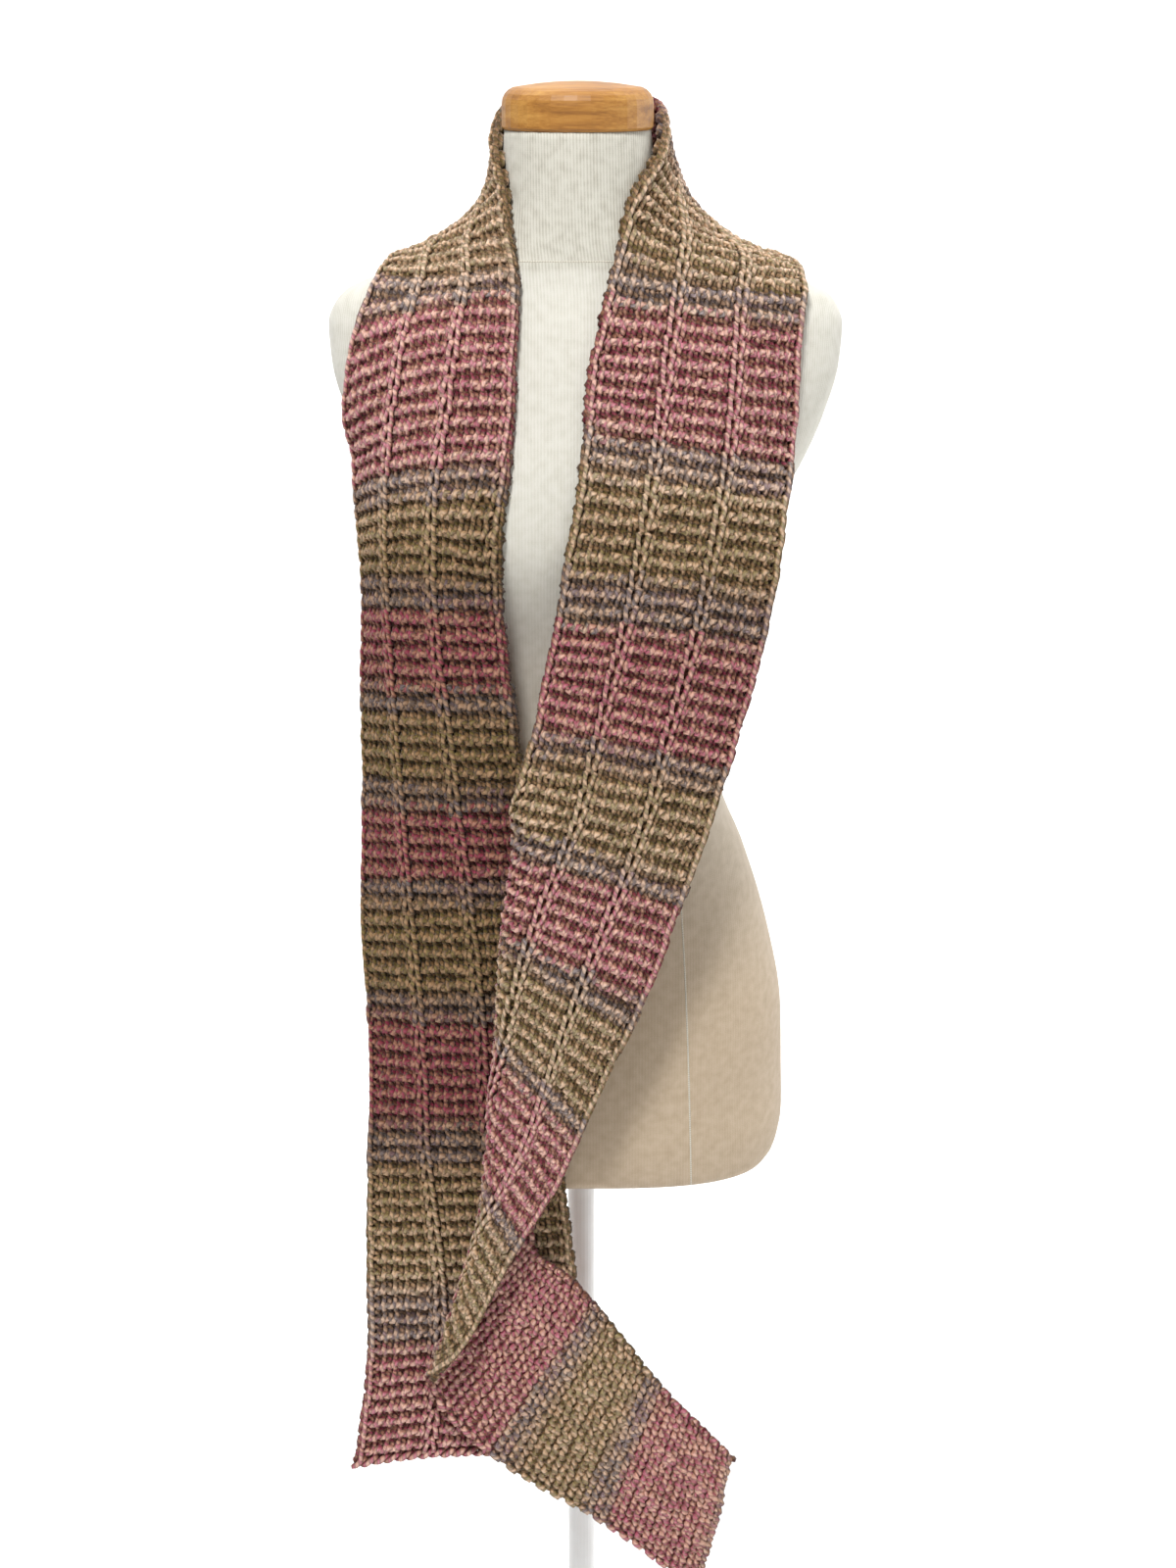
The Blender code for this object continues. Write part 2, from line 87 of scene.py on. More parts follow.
# ---- the drape: the rows of the CAD part, before the fold ----
# name, inner x, y, z, middle x, y, z, outer x, y, z
SCARF_ROWS = (
    ("left_end", -11, -116, 386, -101, -121, 396, -199, -118, 381),
    ("left_hem", -5, -119, 470, -93, -123, 476, -187, -115, 462),
    ("left_knee", -5, -121, 566, -90, -124, 564, -183, -110, 555),
    ("left_thigh", -16, -122, 668, -101, -122, 665, -180, -98, 653),
    ("left_hip", -23, -123, 793, -107, -118, 789, -177, -83, 778),
    ("left_belly", -32, -122, 903, -115, -112, 899, -180, -68, 883),
    ("left_waist", -41, -120, 985, -122, -106, 981, -176, -52, 968),
    ("left_rib", -52, -117, 1074, -129, -99, 1070, -176, -35, 1054),
    ("left_bust", -60, -113, 1177, -135, -90, 1173, -173, -26, 1157),
    ("left_chest", -52, -106, 1257, -130, -90, 1252, -178, -30, 1225),
    ("left_collarbone", -49, -98, 1302, -123, -88, 1297, -178, -32, 1268),
    ("left_shoulder_front", -48, -80, 1367, -112, -74, 1363, -171, -44, 1340),
    ("left_shoulder", -48, -66, 1400, -104, -56, 1391, -155, -26, 1380),
    ("left_shoulder_top", -54, -55, 1427, -102, -33, 1408, -151, -4, 1393),
    ("left_neck_side", -56, -26, 1467, -84, 2, 1431, -134, 36, 1396),
    ("left_neck_back", -61, 8, 1502, -72, 36, 1444, -104, 70, 1388),
    ("neck_left", -55, 42, 1518, -61, 62, 1446, -70, 92, 1372),
    ("nape", 0, 69, 1522, 2, 76, 1447, 2, 99, 1370),
    ("neck_right", 53, 42, 1522, 63, 62, 1448, 74, 92, 1372),
    ("right_neck_back", 62, 10, 1511, 79, 36, 1448, 114, 70, 1389),
    ("right_neck_side", 58, -26, 1481, 87, 2, 1435, 152, 34, 1395),
    ("right_shoulder_top", 37, -46, 1456, 100, -22, 1409, 174, -2, 1390),
    ("right_shoulder", 30, -60, 1420, 101, -50, 1393, 172, -24, 1379),
    ("right_shoulder_front", 15, -80, 1363, 96, -75, 1355, 168, -52, 1345),
    ("right_collarbone", 3, -103, 1286, 86, -104, 1270, 165, -76, 1253),
    ("right_bust", -8, -114, 1206, 75, -127, 1199, 155, -105, 1184),
    ("right_rib", -20, -120, 1134, 62, -134, 1130, 143, -116, 1112),
    ("right_waist", -36, -126, 1054, 39, -141, 1042, 118, -126, 1018),
    ("curl", -48, -138, 1012, 30, -150, 1002, 106, -136, 982),
    ("fold_1", -66, -152, 971, 12, -155, 948, 85, -145, 922),
    ("fold_2", -91, -157, 899, -21, -158, 862, 49, -152, 823),
    ("fold_3", -95, -158, 829, -45, -159, 774, 3, -155, 719),
    ("fold_4", -103, -158, 778, -61, -159, 722, -19, -157, 666),
    ("fold_5", -113, -158, 728, -81, -159, 673, -49, -158, 616),
    ("fold_6", -126, -158, 672, -103, -159, 612, -80, -158, 553),
    ("fold_7", -141, -158, 626, -126, -158, 562, -112, -158, 500),
    ("tail_1", -170, -157, 621, -165, -158, 541, -160, -157, 460),
    ("tail_2", -212, -156, 614, -221, -160, 527, -232, -156, 440),
    ("tail_3", -284, -157, 598, -305, -166, 518, -326, -158, 438),
    ("tail_end", -391, -158, 567, -419, -172, 494, -447, -161, 422),
)
# height, x, radius of the bend
FOLD_LINE = (
    (300, -170, 9.5),
    (502, -109, 9.5),
    (627, -72, 9.5),
    (733, -61, 9.5),
    (812, -54, 9.5),
    (889, -49, 9.5),
    (965, -39, 10.0),
    (1022, -45, 10.0),
    (1100, -60, 10.0),
)
FOLD_SEARCH = 8
PROBE = 0.1
CLEAR_OF_FORM, CLEAR_SOFTNESS = 4.4, 1.5
STRIP_WIDTH = 165
LENGTH_STEPS = 1200                   # steps in which the strip is measured
ALONG_STEP, ACROSS_STEPS = 2.0, 66    # grid that the drape is sampled on
BAKE_GAP = 0.05                       # share of a strand's lane left bare on each side of it
BAKE_SLIVER = ((0.1, 0.1), (0.9, 0.1), (0.5, 0.9))   # corners of a fibre in its cell
FIRST_SIDE = (0.0, 0.3, 1.0)          # a tube's first side is square to this and to the tube

# ---- the knitting ----
RIDGES = 189
PANEL_STITCHES = 5
EDGE_STITCH, COLUMN_STITCH = 0.9, 1.25   # widths, in garter stitches
YARN_RADIUS = 2.35
YARN_SIDES, FLOAT_SIDES = 5, 4
POINTS_A_STITCH, POINTS_A_FLOAT, POINTS_A_WRAP = 10, 5, 12
LOOP_HALF = 5.3                       # half the height of a loop
LOOP_BULGE = 0.15                     # how far heads and feet spread, in stitch widths
LOOP_LEAN = 0.6                       # how far an uneven loop leans, in the same
LOOP_SLANT = 1.7                      # how far one side of a bump lies below the other
SLIP_EXTRA = 2.4                      # how much taller a slipped stitch is than two loops
BEHIND_TALL, BEHIND_SWING = 0.9, 0.3  # loops behind a column: share of the height, and swing in and out
RIDGE_OUT, BACK_OUT = 2.9, -1.5       # tips of the loops on the right side and the wrong side
FOOT_OUT = -0.5                       # feet of the knit loops, which sink into the wrong side
SLIP_OUT = 4.5                        # slipped stitches
MIDDLE_OUT = 0.9                      # the knitting's middle, out from the drape
RIDGE_SWELL, BACK_SWELL = 0.22, 0.35  # shares by which raised and sunk yarn is thicker
SLIP_SLIM = 0.34                      # share by which slipped yarn is thinner
EDGE_WRAP = math.radians(50)          # how far an edge stitch rolls round the edge
EDGE_FLAT = 0.6                       # share of its rise that it keeps
EASE = 0.2                            # how far yarn gives way to what is beside it
FLOAT_MARGIN, FLOAT_LIFT = 2, 0.3     # strands across the wrong side: from the edges, and from the tips
FLOAT_SWING = (1.2, 0.8)              # and their swing along the strip and out of it
ROPE_TURN = 1.9                       # stitches to a turn of the two strands across an end
ROPE_SWING, ROPE_LIFT = (2.3, 2.1), 0.6
ROPE_MARGIN = 0.5
CAST_OFF_PAST, CAST_OFF_THICK = 3.5, 1.2   # how far past the end they lie, and how thick they are
CAST_ON_SHORT, CAST_ON_THICK = 1.5, 0.9    # the same at the other end, short of it
GROUND_BACK, GROUND_FRONT = -1.4, 0.8   # faces of the web inside, out from the knitting's middle
GROUND_WAVE = 0.5                     # and their swing with the ridges
GROUND_MARGIN, GROUND_SHORT = 4, 1    # how far it stays from the strip's edges and ends
GROUND_COLUMNS = 10
FIBRES = 30000                        # on each half of the scarf
FIBRE_LENGTH, FIBRE_WIDTH = (3.0, 8.0), 0.16   # shortest and longest, and width at the root
FIBRE_ROOT = 0.8                      # where a fibre starts, in radii from the middle of the yarn
FIBRE_ALONG, FIBRE_ASTRAY = 0.9, 0.35   # how far it lies along the yarn, and strays from its way out

# ---- what is uneven in it: how far it strays, and over how many points of the yarn ----
UNEVEN = 0.12                         # how much one loop differs from the next
LOOP_STRAY, LOOP_SPAN = (0.45, 0.55, 0.4), 12   # loops, across, along and out
FLOAT_STRAY, FLOAT_SPAN = (0.5, 0.25), 5        # strands on the wrong side, along and out
QUICK_STRAY, SLOW_STRAY = 0.7, 1.1    # the edges, from course to course and over many
THICK_STRAY, THICK_LIMIT = 0.07, 0.2  # the yarn's thickness, as shares
THICK_SPAN, FLOAT_THICK_SPAN = 6, 4
ROPE_STRAY, ROPE_SPAN = 0.06, 7
DYE_STRAY, DYE_SPAN, FLOAT_DYE_SPAN = 0.05, 25, 12
YARN_STARTS = 400                     # a strand's place on the yarn starts anywhere in this length

# ---- how open to the light the yarn is, from 0 to 1 ----
VALLEY_OPEN = 0.18                    # on the floor of a valley
VALLEY_FADE, SIDE_FADE = 1.2, 0.75    # how fast this fades down a valley and round a strand
LOOSE_OPEN = 0.8                      # on what stands clear of the knitting
GROUND_OPEN = 0.27

# Path of a slipped stitch, from its left foot to its head: share of the stitch, across in stitch
# widths from its middle, up as a share of its height, out in mm.
SLIPPED_STITCH = (
    (0.00, -0.50, 0.02, -1.7),
    (0.08, -0.26, 0.03, -1.2),
    (0.16, -0.07, 0.12, 1.8),
    (0.26, -0.20, 0.38, 4.5),
    (0.36, -0.43, 0.74, 4.6),
    (0.44, -0.44, 0.96, 2.0),
    (0.50, 0.00, 1.00, -1.6),
)

# The dyed ply's colour along the strip, from the end at -X: 0 rose, 0.5 slate, 1 olive.
DYE_STRIPES = (
    (0, 0.0), (92, 0.05), (112, 0.5), (150, 0.5), (170, 0.95), (262, 1.0), (282, 0.5), (306, 0.5),
    (326, 0.0), (394, 0.0), (410, 0.5), (420, 0.5), (436, 1.0), (498, 1.0), (509, 0.5), (521, 0.5),
    (534, 0.0), (578, 0.0), (589, 0.5), (600, 0.5), (612, 1.0), (656, 1.0), (667, 0.5), (679, 0.5),
    (692, 0.0), (738, 0.0), (750, 0.5), (766, 0.5), (778, 1.0), (828, 1.0), (838, 0.5), (852, 0.5),
    (866, 0.0), (976, 0.0), (988, 0.5), (1000, 0.5), (1014, 0.9), (1146, 0.9), (1160, 0.5),
    (1172, 0.5), (1186, 0.0), (1300, 0.05), (1312, 0.5), (1328, 0.55), (1342, 0.9), (1428, 0.95),
    (1438, 0.5), (1454, 0.5), (1466, 0.0), (1554, 0.0), (1564, 0.5), (1582, 0.5), (1594, 1.0),
    (1658, 1.0), (1670, 0.5), (1698, 0.5), (1712, 0.0), (1790, 0.0), (1800, 0.5), (1812, 0.5),
    (1826, 1.0), (1880, 1.0), (1890, 0.5), (1902, 0.5), (1914, 0.0), (1974, 0.0), (1983, 0.5),
    (1993, 0.5), (2006, 1.0), (2066, 1.0), (2076, 0.5), (2086, 0.5), (2098, 0.0), (2176, 0.0),
    (2186, 0.5), (2195, 0.5), (2206, 1.0), (2310, 0.95), (2320, 0.5), (2330, 0.5), (2342, 0.0),
    (2396, 0.0), (2404, 0.5), (2416, 0.5), (2428, 1.0), (2482, 1.0), (2491, 0.5), (2503, 0.5),
    (2515, 0.0), (2598, 0.05), (2610, 0.5), (2630, 0.5),
)

# Where it would show, the dye doesn't change at the fold: last place in front, first place behind.
FOLD_DYE = (2312, 2345)

# Painted shade along the strip, from the end at -X: the share of its colour that the yarn keeps, least on
# the strand at -X from the thigh to the bust.
SHADE_ALONG_STRIP = (
    (0, 0.93), (175, 0.92), (250, 0.68), (320, 0.50), (600, 0.50), (770, 0.54), (865, 0.96),
    (1000, 0.95), (1100, 0.92), (1500, 0.95), (1595, 0.97), (1626, 0.81), (1822, 0.80), (1858, 0.92),
    (2200, 0.95), (2340, 0.86), (2610, 0.86),
)

# ---- finishes: places on a ramp and their colours ----
CAMEL = ((0.32, (0.23, 0.124, 0.078)), (0.50, (0.43, 0.264, 0.162)), (0.68, (0.61, 0.410, 0.262)))
DEEP_DYES = (
    (0.0, (0.26, 0.080, 0.085)), (0.22, (0.24, 0.082, 0.076)), (0.5, (0.110, 0.076, 0.074)),
    (0.75, (0.17, 0.117, 0.065)), (1.0, (0.175, 0.130, 0.056)),
)
PALE_DYES = (
    (0.0, (0.56, 0.125, 0.220)), (0.22, (0.51, 0.165, 0.200)), (0.5, (0.31, 0.272, 0.272)),
    (0.75, (0.39, 0.268, 0.167)), (1.0, (0.43, 0.32, 0.155)),
)
TWIST_PITCH = 7.6                     # length of one turn of the two plies
STREAK_ALONG, STREAK_AROUND = 0.35, 1.6   # how close the streaks lie along the yarn and round it
STREAK_BEND = 0.3                     # turns by which they bend the plies' edges
PLY_EDGE = (-0.75, -0.05)             # where the dyed ply ends and the camel one begins
PLY_GROOVE = 0.1                      # how far the groove lies off the middle between them
DYE_PATCHES = 0.24                    # how much the dye changes from patch to patch
CAMEL_STAIN = 0.22                    # share of the dye in the camel ply
OPEN_LIGHT = (0.08, 0.95, 0.31, 1.5)  # openness from and to, and the light on the yarn there
OPEN_RICHNESS = (0.1, 0.9, 1.3, 0.74)   # the same for the richness of its colours
BASE_JERSEY = ((0.45, (0.54, 0.515, 0.440)), (0.75, (0.63, 0.61, 0.53)), (1.1, (0.70, 0.68, 0.61)))
# Painted shade: the neck above its seam is darker.
NECK_SHADE_JERSEY = ((0.55, (0.44, 0.415, 0.345)), (0.80, (0.57, 0.545, 0.465)), (1.05, (0.66, 0.64, 0.56)))
# Painted shade and warm bounce light: darker and warmer from the bust down to the hips.
HIP_SHADE_JERSEY = ((0.45, (0.40, 0.305, 0.205)), (0.75, (0.47, 0.365, 0.25)), (1.1, (0.54, 0.43, 0.31)))
# A dark band at the bottom edge: partly its binding, partly painted shade under the rounded edge.
HEM_AND_SHADE_JERSEY = ((0.45, (0.17, 0.105, 0.070)), (1.1, (0.27, 0.180, 0.125)))
JERSEY_WALE, JERSEY_COURSE = 2.55, 1.6   # spacing of its ribs, and of the loops down a rib
NECK_EDGE, TAUT, HIP_SHADE, HEM_AND_SHADE = (1394, 1400), (1400, 1000), (1240, 760), (638, 631)   # heights, from and to
SEAM_THREAD = ((0.2, (0.52, 0.48, 0.39)), (0.8, (0.70, 0.67, 0.57)))
BEECH = ((0.45, (0.25, 0.098, 0.016)), (0.62, (0.41, 0.178, 0.030)), (0.85, (0.57, 0.295, 0.065)))
ENAMEL = ((0.35, (0.74, 0.73, 0.71)), (0.65, (0.84, 0.84, 0.83)))
FLOOR = ((0.3, (0.90, 0.90, 0.90)), (0.7, (0.93, 0.93, 0.93)))

# ---- camera and studio ----
CAMERA_PLACE = (0.006, -1.90, 1.581)
CAMERA_TILT = math.radians(18)        # below level
LENS_PIXELS, FRAME_PIXELS = 2409, 1600   # focal length, and the frame's height
SENSOR = 36
FLOOR_HALF, FLOOR_FRONT, FLOOR_BACK = 6.0, -6.0, 3.0
SWEEP_RADIUS, SWEEP_TOP = 1.5, 6.0
SWEEP_START, SWEEP_STEPS = 0.1, 12    # first angle of the bend, and places on it
FLOOR_GAP = 0.0005                    # below the stand
AIR_LIGHT = 0.22
# name, place, what it aims at, width and height, power
LIGHTS = (
    ("key_softbox", (-0.7, -2.4, 4.9), (0, 0, 1.0), (0.8, 0.8), 205),
    ("fill_softbox", (2.4, -2.4, 1.9), (0, 0, 1.0), (1.4, 1.8), 12),
    ("rim_softbox", (2.4, 0.9, 1.7), (0.1, 0, 1.0), (0.8, 2.0), 26),
    ("backdrop_light", (0.0, 1.2, 3.6), (0, 3.6, 0.8), (5.0, 1.0), 170),
)

rng = np.random.default_rng(20)


# ---------------------------------------------------------------- curves
def natural_spline(knots, values):
    """A smooth curve through `values` (one row a knot), as a function of an array of places."""
    knots = np.asarray(knots, float)
    values = np.asarray(values, float).reshape(len(knots), -1)
    step = np.diff(knots)
    rows = np.eye(len(knots))
    right = np.zeros_like(values)
    for k in range(1, len(knots) - 1):
        rows[k, k - 1:k + 2] = step[k - 1], 2 * (step[k - 1] + step[k]), step[k]
        slopes = (values[k + 1] - values[k]) / step[k] - (values[k] - values[k - 1]) / step[k - 1]
        right[k] = 6 * slopes
    bend = np.linalg.solve(rows, right)

    def at(place):
        place = np.asarray(place, float)
        k = np.clip(np.searchsorted(knots, place) - 1, 0, len(step) - 1)
        along = (place - knots[k])[..., None]
        length = step[k][..., None]
        slope = (values[k + 1] - values[k]) / length - length * (2 * bend[k] + bend[k + 1]) / 6
        cubic = (bend[k + 1] - bend[k]) / (6 * length)
        return values[k] + along * (slope + along * (bend[k] / 2 + along * cubic))
    return at


def level_curve(knots, values):
    """A curve through `values` that never swings past them, as a function of an array of places."""
    knots = np.asarray(knots, float)
    values = np.asarray(values, float)
    step = np.diff(knots)
    rise = np.diff(values) / step
    slope = np.zeros_like(values)
    slope[0], slope[-1] = rise[0], rise[-1]
    for k in range(1, len(knots) - 1):
        if rise[k - 1] * rise[k] > 0:
            before, after = 2 * step[k] + step[k - 1], step[k] + 2 * step[k - 1]
            slope[k] = (before + after) / (before / rise[k - 1] + after / rise[k])

    def at(place):
        place = np.clip(place, knots[0], knots[-1])
        k = np.clip(np.searchsorted(knots, place) - 1, 0, len(step) - 1)
        t = (place - knots[k]) / step[k]
        start = (2 * t**3 - 3 * t**2 + 1) * values[k] + (t**3 - 2 * t**2 + t) * step[k] * slope[k]
        end = (3 * t**2 - 2 * t**3) * values[k + 1] + (t**3 - t**2) * step[k] * slope[k + 1]
        return start + end
    return at


# ---------------------------------------------------------------- the form's surface
FORM_HEIGHTS = [row[0] for row in FORM_SECTIONS]
FORM_HALF, FORM_FRONT, FORM_BACK, FORM_SQUARE, FORM_CENTRE = (
    level_curve(FORM_HEIGHTS, [row[k] for row in FORM_SECTIONS]) for k in range(1, 6))


def bust(x, y, z):
    """How far the mounds push the front out."""
    mounds = sum(np.exp(-((x - side * BUST_X) / BUST_WIDE)**2) for side in (-1, 1))
    return BUST_RISE * mounds * np.exp(-((z - BUST_Z) / BUST_TALL)**2) * np.clip(-y / BUST_RAMP, 0, 1)


def form_level(points):
    """Below zero inside the form, zero on it and above zero outside."""
    x, y, z = points[..., 0], points[..., 1], points[..., 2]
    depth = np.where(y < 0, FORM_FRONT(z), FORM_BACK(z))
    square = FORM_SQUARE(z)
    across = np.abs((x - FORM_CENTRE(z)) / FORM_HALF(z))**square
    along = np.abs((y + bust(x, y, z)) / depth)**square
    return (across + along + 1e-12)**(1 / square) - 1


def lift_clear(points):
    """The points, moved out where they come closer to the form than the cloth may."""
    slope = np.zeros_like(points)
    for axis, probe in enumerate(np.eye(3) * PROBE):
        slope[..., axis] = (form_level(points + probe) - form_level(points - probe)) / (2 * PROBE)
    steep = np.linalg.norm(slope, axis=-1)
    short = CLEAR_OF_FORM - form_level(points) / steep
    push = CLEAR_SOFTNESS * np.logaddexp(0, short / CLEAR_SOFTNESS)
    return points + (push / steep)[..., None] * slope


def form_surface(angle, height, out=0.0):
    """Points of the form at an angle from +X and a height, `out` mm off it in the section's plane."""
    cos, sin = np.cos(angle), np.sin(angle)
    depth = np.where(sin < 0, FORM_FRONT(height), FORM_BACK(height))
    power = 2 / FORM_SQUARE(height)
    x = np.sign(cos) * np.abs(cos)**power * FORM_HALF(height) + FORM_CENTRE(height)
    y = np.sign(sin) * np.abs(sin)**power * depth
    y = y - bust(x, y, height)
    return np.stack([x + out * cos, y + out * sin, height + 0 * x], axis=-1) * MM


# ---------------------------------------------------------------- the scarf's surface
def row_points(column):
    return np.array([row[column:column + 3] for row in SCARF_ROWS], float)


ROW_PLACES = np.concatenate(([0], np.cumsum(np.linalg.norm(np.diff(row_points(4), axis=0), axis=1))))
INNER_EDGE, MIDDLE, OUTER_EDGE = (natural_spline(ROW_PLACES, row_points(k)) for k in (1, 4, 7))
ROW_PLACE = {row[0]: place for row, place in zip(SCARF_ROWS, ROW_PLACES)}
FOLD_HEIGHTS = [row[0] for row in FOLD_LINE]
FOLD_X = natural_spline(FOLD_HEIGHTS, [row[1] for row in FOLD_LINE])
FOLD_RADIUS = natural_spline(FOLD_HEIGHTS, [row[2] for row in FOLD_LINE])


def fold_back(points):
    """Rolls whatever hangs past the fold line round a small bend and lays it behind."""
    x, z = points[..., 0], points[..., 2]
    height = np.clip(z, FOLD_HEIGHTS[0], FOLD_HEIGHTS[-1])
    for _ in range(FOLD_SEARCH):
        slope = (FOLD_X(height + PROBE) - FOLD_X(height - PROBE))[..., 0] / (2 * PROBE)
        step = ((x - FOLD_X(height)[..., 0]) * slope + z - height) / (1 + slope**2)
        height = np.clip(height + step, FOLD_HEIGHTS[0], FOLD_HEIGHTS[-1])
    root = np.sqrt(1 + slope**2)
    out_x, out_z = -1 / root, slope / root
    past = (x - FOLD_X(height)[..., 0]) * out_x + (z - height) * out_z
    radius = FOLD_RADIUS(height)[..., 0]
    angle = np.clip(past / radius, 0, math.pi)
    reach = np.where(past > 0, radius * np.sin(angle) - np.maximum(past - math.pi * radius, 0), past)
    folded = points.copy()
    folded[..., 0] = points[..., 0] + (reach - past) * out_x
    folded[..., 1] = points[..., 1] + radius * (1 - np.cos(angle))
    folded[..., 2] = points[..., 2] + (reach - past) * out_z
    return folded, angle / math.pi


def drape(place, across):
    """Points of the scarf's middle surface: `place` along it from the end at -X, `across` 0 to 1.

    Also gives how far round the fold each point is, from 0 in front to 1 behind.
    """
    place, across = np.broadcast_arrays(np.asarray(place, float), np.asarray(across, float))
    u = across[..., None]
    inner, middle, outer = INNER_EDGE(place), MIDDLE(place), OUTER_EDGE(place)
    flat = (inner * (2 * u - 1) * (u - 1) + middle * 4 * u * (1 - u) + outer * u * (2 * u - 1))
    hanging = place > ROW_PLACE["right_waist"]
    folded, turned = fold_back(flat)
    points = np.where(hanging[..., None], folded, flat)
    return lift_clear(points), np.where(hanging, turned, 0)[..., None]


def length_table():
    """Places along the strip and the true length up to each, measured down its middle."""
    places = np.linspace(0, ROW_PLACES[-1], LENGTH_STEPS + 1)
    middle = MIDDLE(places)
    lengths = np.concatenate(([0], np.cumsum(np.linalg.norm(np.diff(middle, axis=0), axis=1))))
    return places, lengths


TABLE_PLACES, TABLE_LENGTHS = length_table()
STRIP_LENGTH = TABLE_LENGTHS[-1]
COURSE = STRIP_LENGTH / (2 * RIDGES)
GRID_LENGTHS = np.arange(0, STRIP_LENGTH + ALONG_STEP, ALONG_STEP)
GRID_POINTS, GRID_TURNED = drape(np.interp(GRID_LENGTHS, TABLE_LENGTHS, TABLE_PLACES)[:, None],
                                 np.linspace(0, 1, ACROSS_STEPS + 1)[None, :])
GRID_NORMALS = np.cross(np.gradient(GRID_POINTS, axis=0), np.gradient(GRID_POINTS, axis=1))
GRID_NORMALS /= np.linalg.norm(GRID_NORMALS, axis=-1, keepdims=True)


def on_grid(grid, across, along):
    """Values of a grid over the drape at places in millimetres across and along the strip."""
    u = across / STRIP_WIDTH * ACROSS_STEPS
    v = along / ALONG_STEP
    i = np.clip(np.floor(v).astype(int), 0, grid.shape[0] - 3)
    k = np.clip(np.floor(u).astype(int), 0, ACROSS_STEPS - 1)
    f, g = (v - i)[..., None], (u - k)[..., None]
    low = grid[i, k] * (1 - g) + grid[i, k + 1] * g
    high = grid[i + 1, k] * (1 - g) + grid[i + 1, k + 1] * g
    return low * (1 - f) + high * f


def on_scarf(across, along, out):
    """Points in metres from places in millimetres: across the strip, along it and out of its face."""
    normals = on_grid(GRID_NORMALS, across, along)
    return (on_grid(GRID_POINTS, across, along) + normals * out[..., None]) * MM


def length_at(row_name):
    return float(np.interp(ROW_PLACE[row_name], TABLE_PLACES, TABLE_LENGTHS))


# ---------------------------------------------------------------- courses of yarn
def stitch_plan():
    """Kinds and edges of the stitches across the strip, in millimetres from the inner edge."""
    panel = ["garter"] * PANEL_STITCHES
    kinds = ["inner edge"] + panel + ["column"] + panel + ["column"] + panel + ["outer edge"]
    width = {"garter": 1, "column": COLUMN_STITCH, "inner edge": EDGE_STITCH, "outer edge": EDGE_STITCH}
    edges = np.concatenate(([0], np.cumsum([width[kind] for kind in kinds])))
    return kinds, edges / edges[-1] * STRIP_WIDTH


STITCH_KINDS, STITCH_EDGES = stitch_plan()
STITCHES = len(STITCH_KINDS)
SHARE = np.arange(POINTS_A_STITCH) / POINTS_A_STITCH    # places along the yarn of one stitch
SWEPT = TURN * SHARE                                    # the same as angles


def slipped_path():
    """Across, up and out of a slipped stitch."""
    table = np.array(SLIPPED_STITCH)
    mirrored = table[-2::-1] * (-1, -1, 1, 1) + (1, 0, 0, 0)
    whole = np.concatenate((table, mirrored))
    return natural_spline(whole[:, 0], whole[:, 1:])(SHARE)


SLIPPED_PATH = slipped_path()


def loop_out(height, back_out):
    """How far out the yarn is, for -1 at the tips on the wrong side to 1 at those on the right side."""
    return (RIDGE_OUT + back_out) / 2 + (RIDGE_OUT - back_out) / 2 * (1.5 * height - 0.5 * height**3)


def garter_stitch(left, width, middle, knit):
    """Across, along and out of one loop. A knit loop shows its head, and a purl loop its foot."""
    lean, tension = 1 + UNEVEN * rng.standard_normal(2)
    across = left + width * (SHARE + LOOP_BULGE * lean * np.sin(2 * SWEPT))
    across += width * LOOP_LEAN * (lean - 1) * (1 - np.cos(SWEPT)) / 2
    along = middle + LOOP_HALF * tension * np.cos(SWEPT)
    along += LOOP_SLANT * np.sin(SWEPT) * (1 if knit else -1)
    out = loop_out(-np.cos(SWEPT), FOOT_OUT) if knit else loop_out(np.cos(SWEPT), BACK_OUT)
    return across, along, out


def slipped_stitch(left, width, middle):
    """A stitch of a column, which stands on the ridges and reaches over two courses."""
    height = COURSE + 2 * LOOP_HALF + SLIP_EXTRA
    across = left + width * (0.5 + SLIPPED_PATH[:, 0])
    along = middle + LOOP_HALF + SLIP_EXTRA / 2 - height * SLIPPED_PATH[:, 1]
    return across, along, SLIPPED_PATH[:, 2]


def stitch_behind(left, width, middle):
    """The next course's yarn, which passes behind the slipped stitch."""
    across = left + width * (SHARE + LOOP_BULGE * np.sin(2 * SWEPT))
    along = middle + BEHIND_TALL * LOOP_HALF * np.cos(SWEPT)
    return across, along, BACK_OUT + BEHIND_SWING - BEHIND_SWING * np.cos(SWEPT)


def course_path(course):
    """Across, along and out, in millimetres, of one course of yarn, at every point of its tube."""
    knit = course % 2 == 1
    middle = (course + 0.5) * COURSE
    pieces = []
    for kind, left, right in zip(STITCH_KINDS, STITCH_EDGES, STITCH_EDGES[1:]):
        width = right - left
        if kind == "garter":
            across, along, out = garter_stitch(left, width, middle, knit)
        elif knit:
            across, along, out = slipped_stitch(left, width, middle)
        else:
            across, along, out = stitch_behind(left, width, middle)
        if "edge" in kind:
            side = -1 if kind == "inner edge" else 1
            off = across - (left + width / 2)
            across = left + width / 2 + off * math.cos(EDGE_WRAP)
            out = out * EDGE_FLAT - side * off * math.sin(EDGE_WRAP)
        pieces.append(np.stack([across, along, out], axis=-1))
    path = np.concatenate(pieces)
    # The yarn eases from one kind of stitch to the next.
    eased = path.copy()
    eased[1:-1] = path[1:-1] * (1 - 2 * EASE) + (path[:-2] + path[2:]) * EASE
    return eased


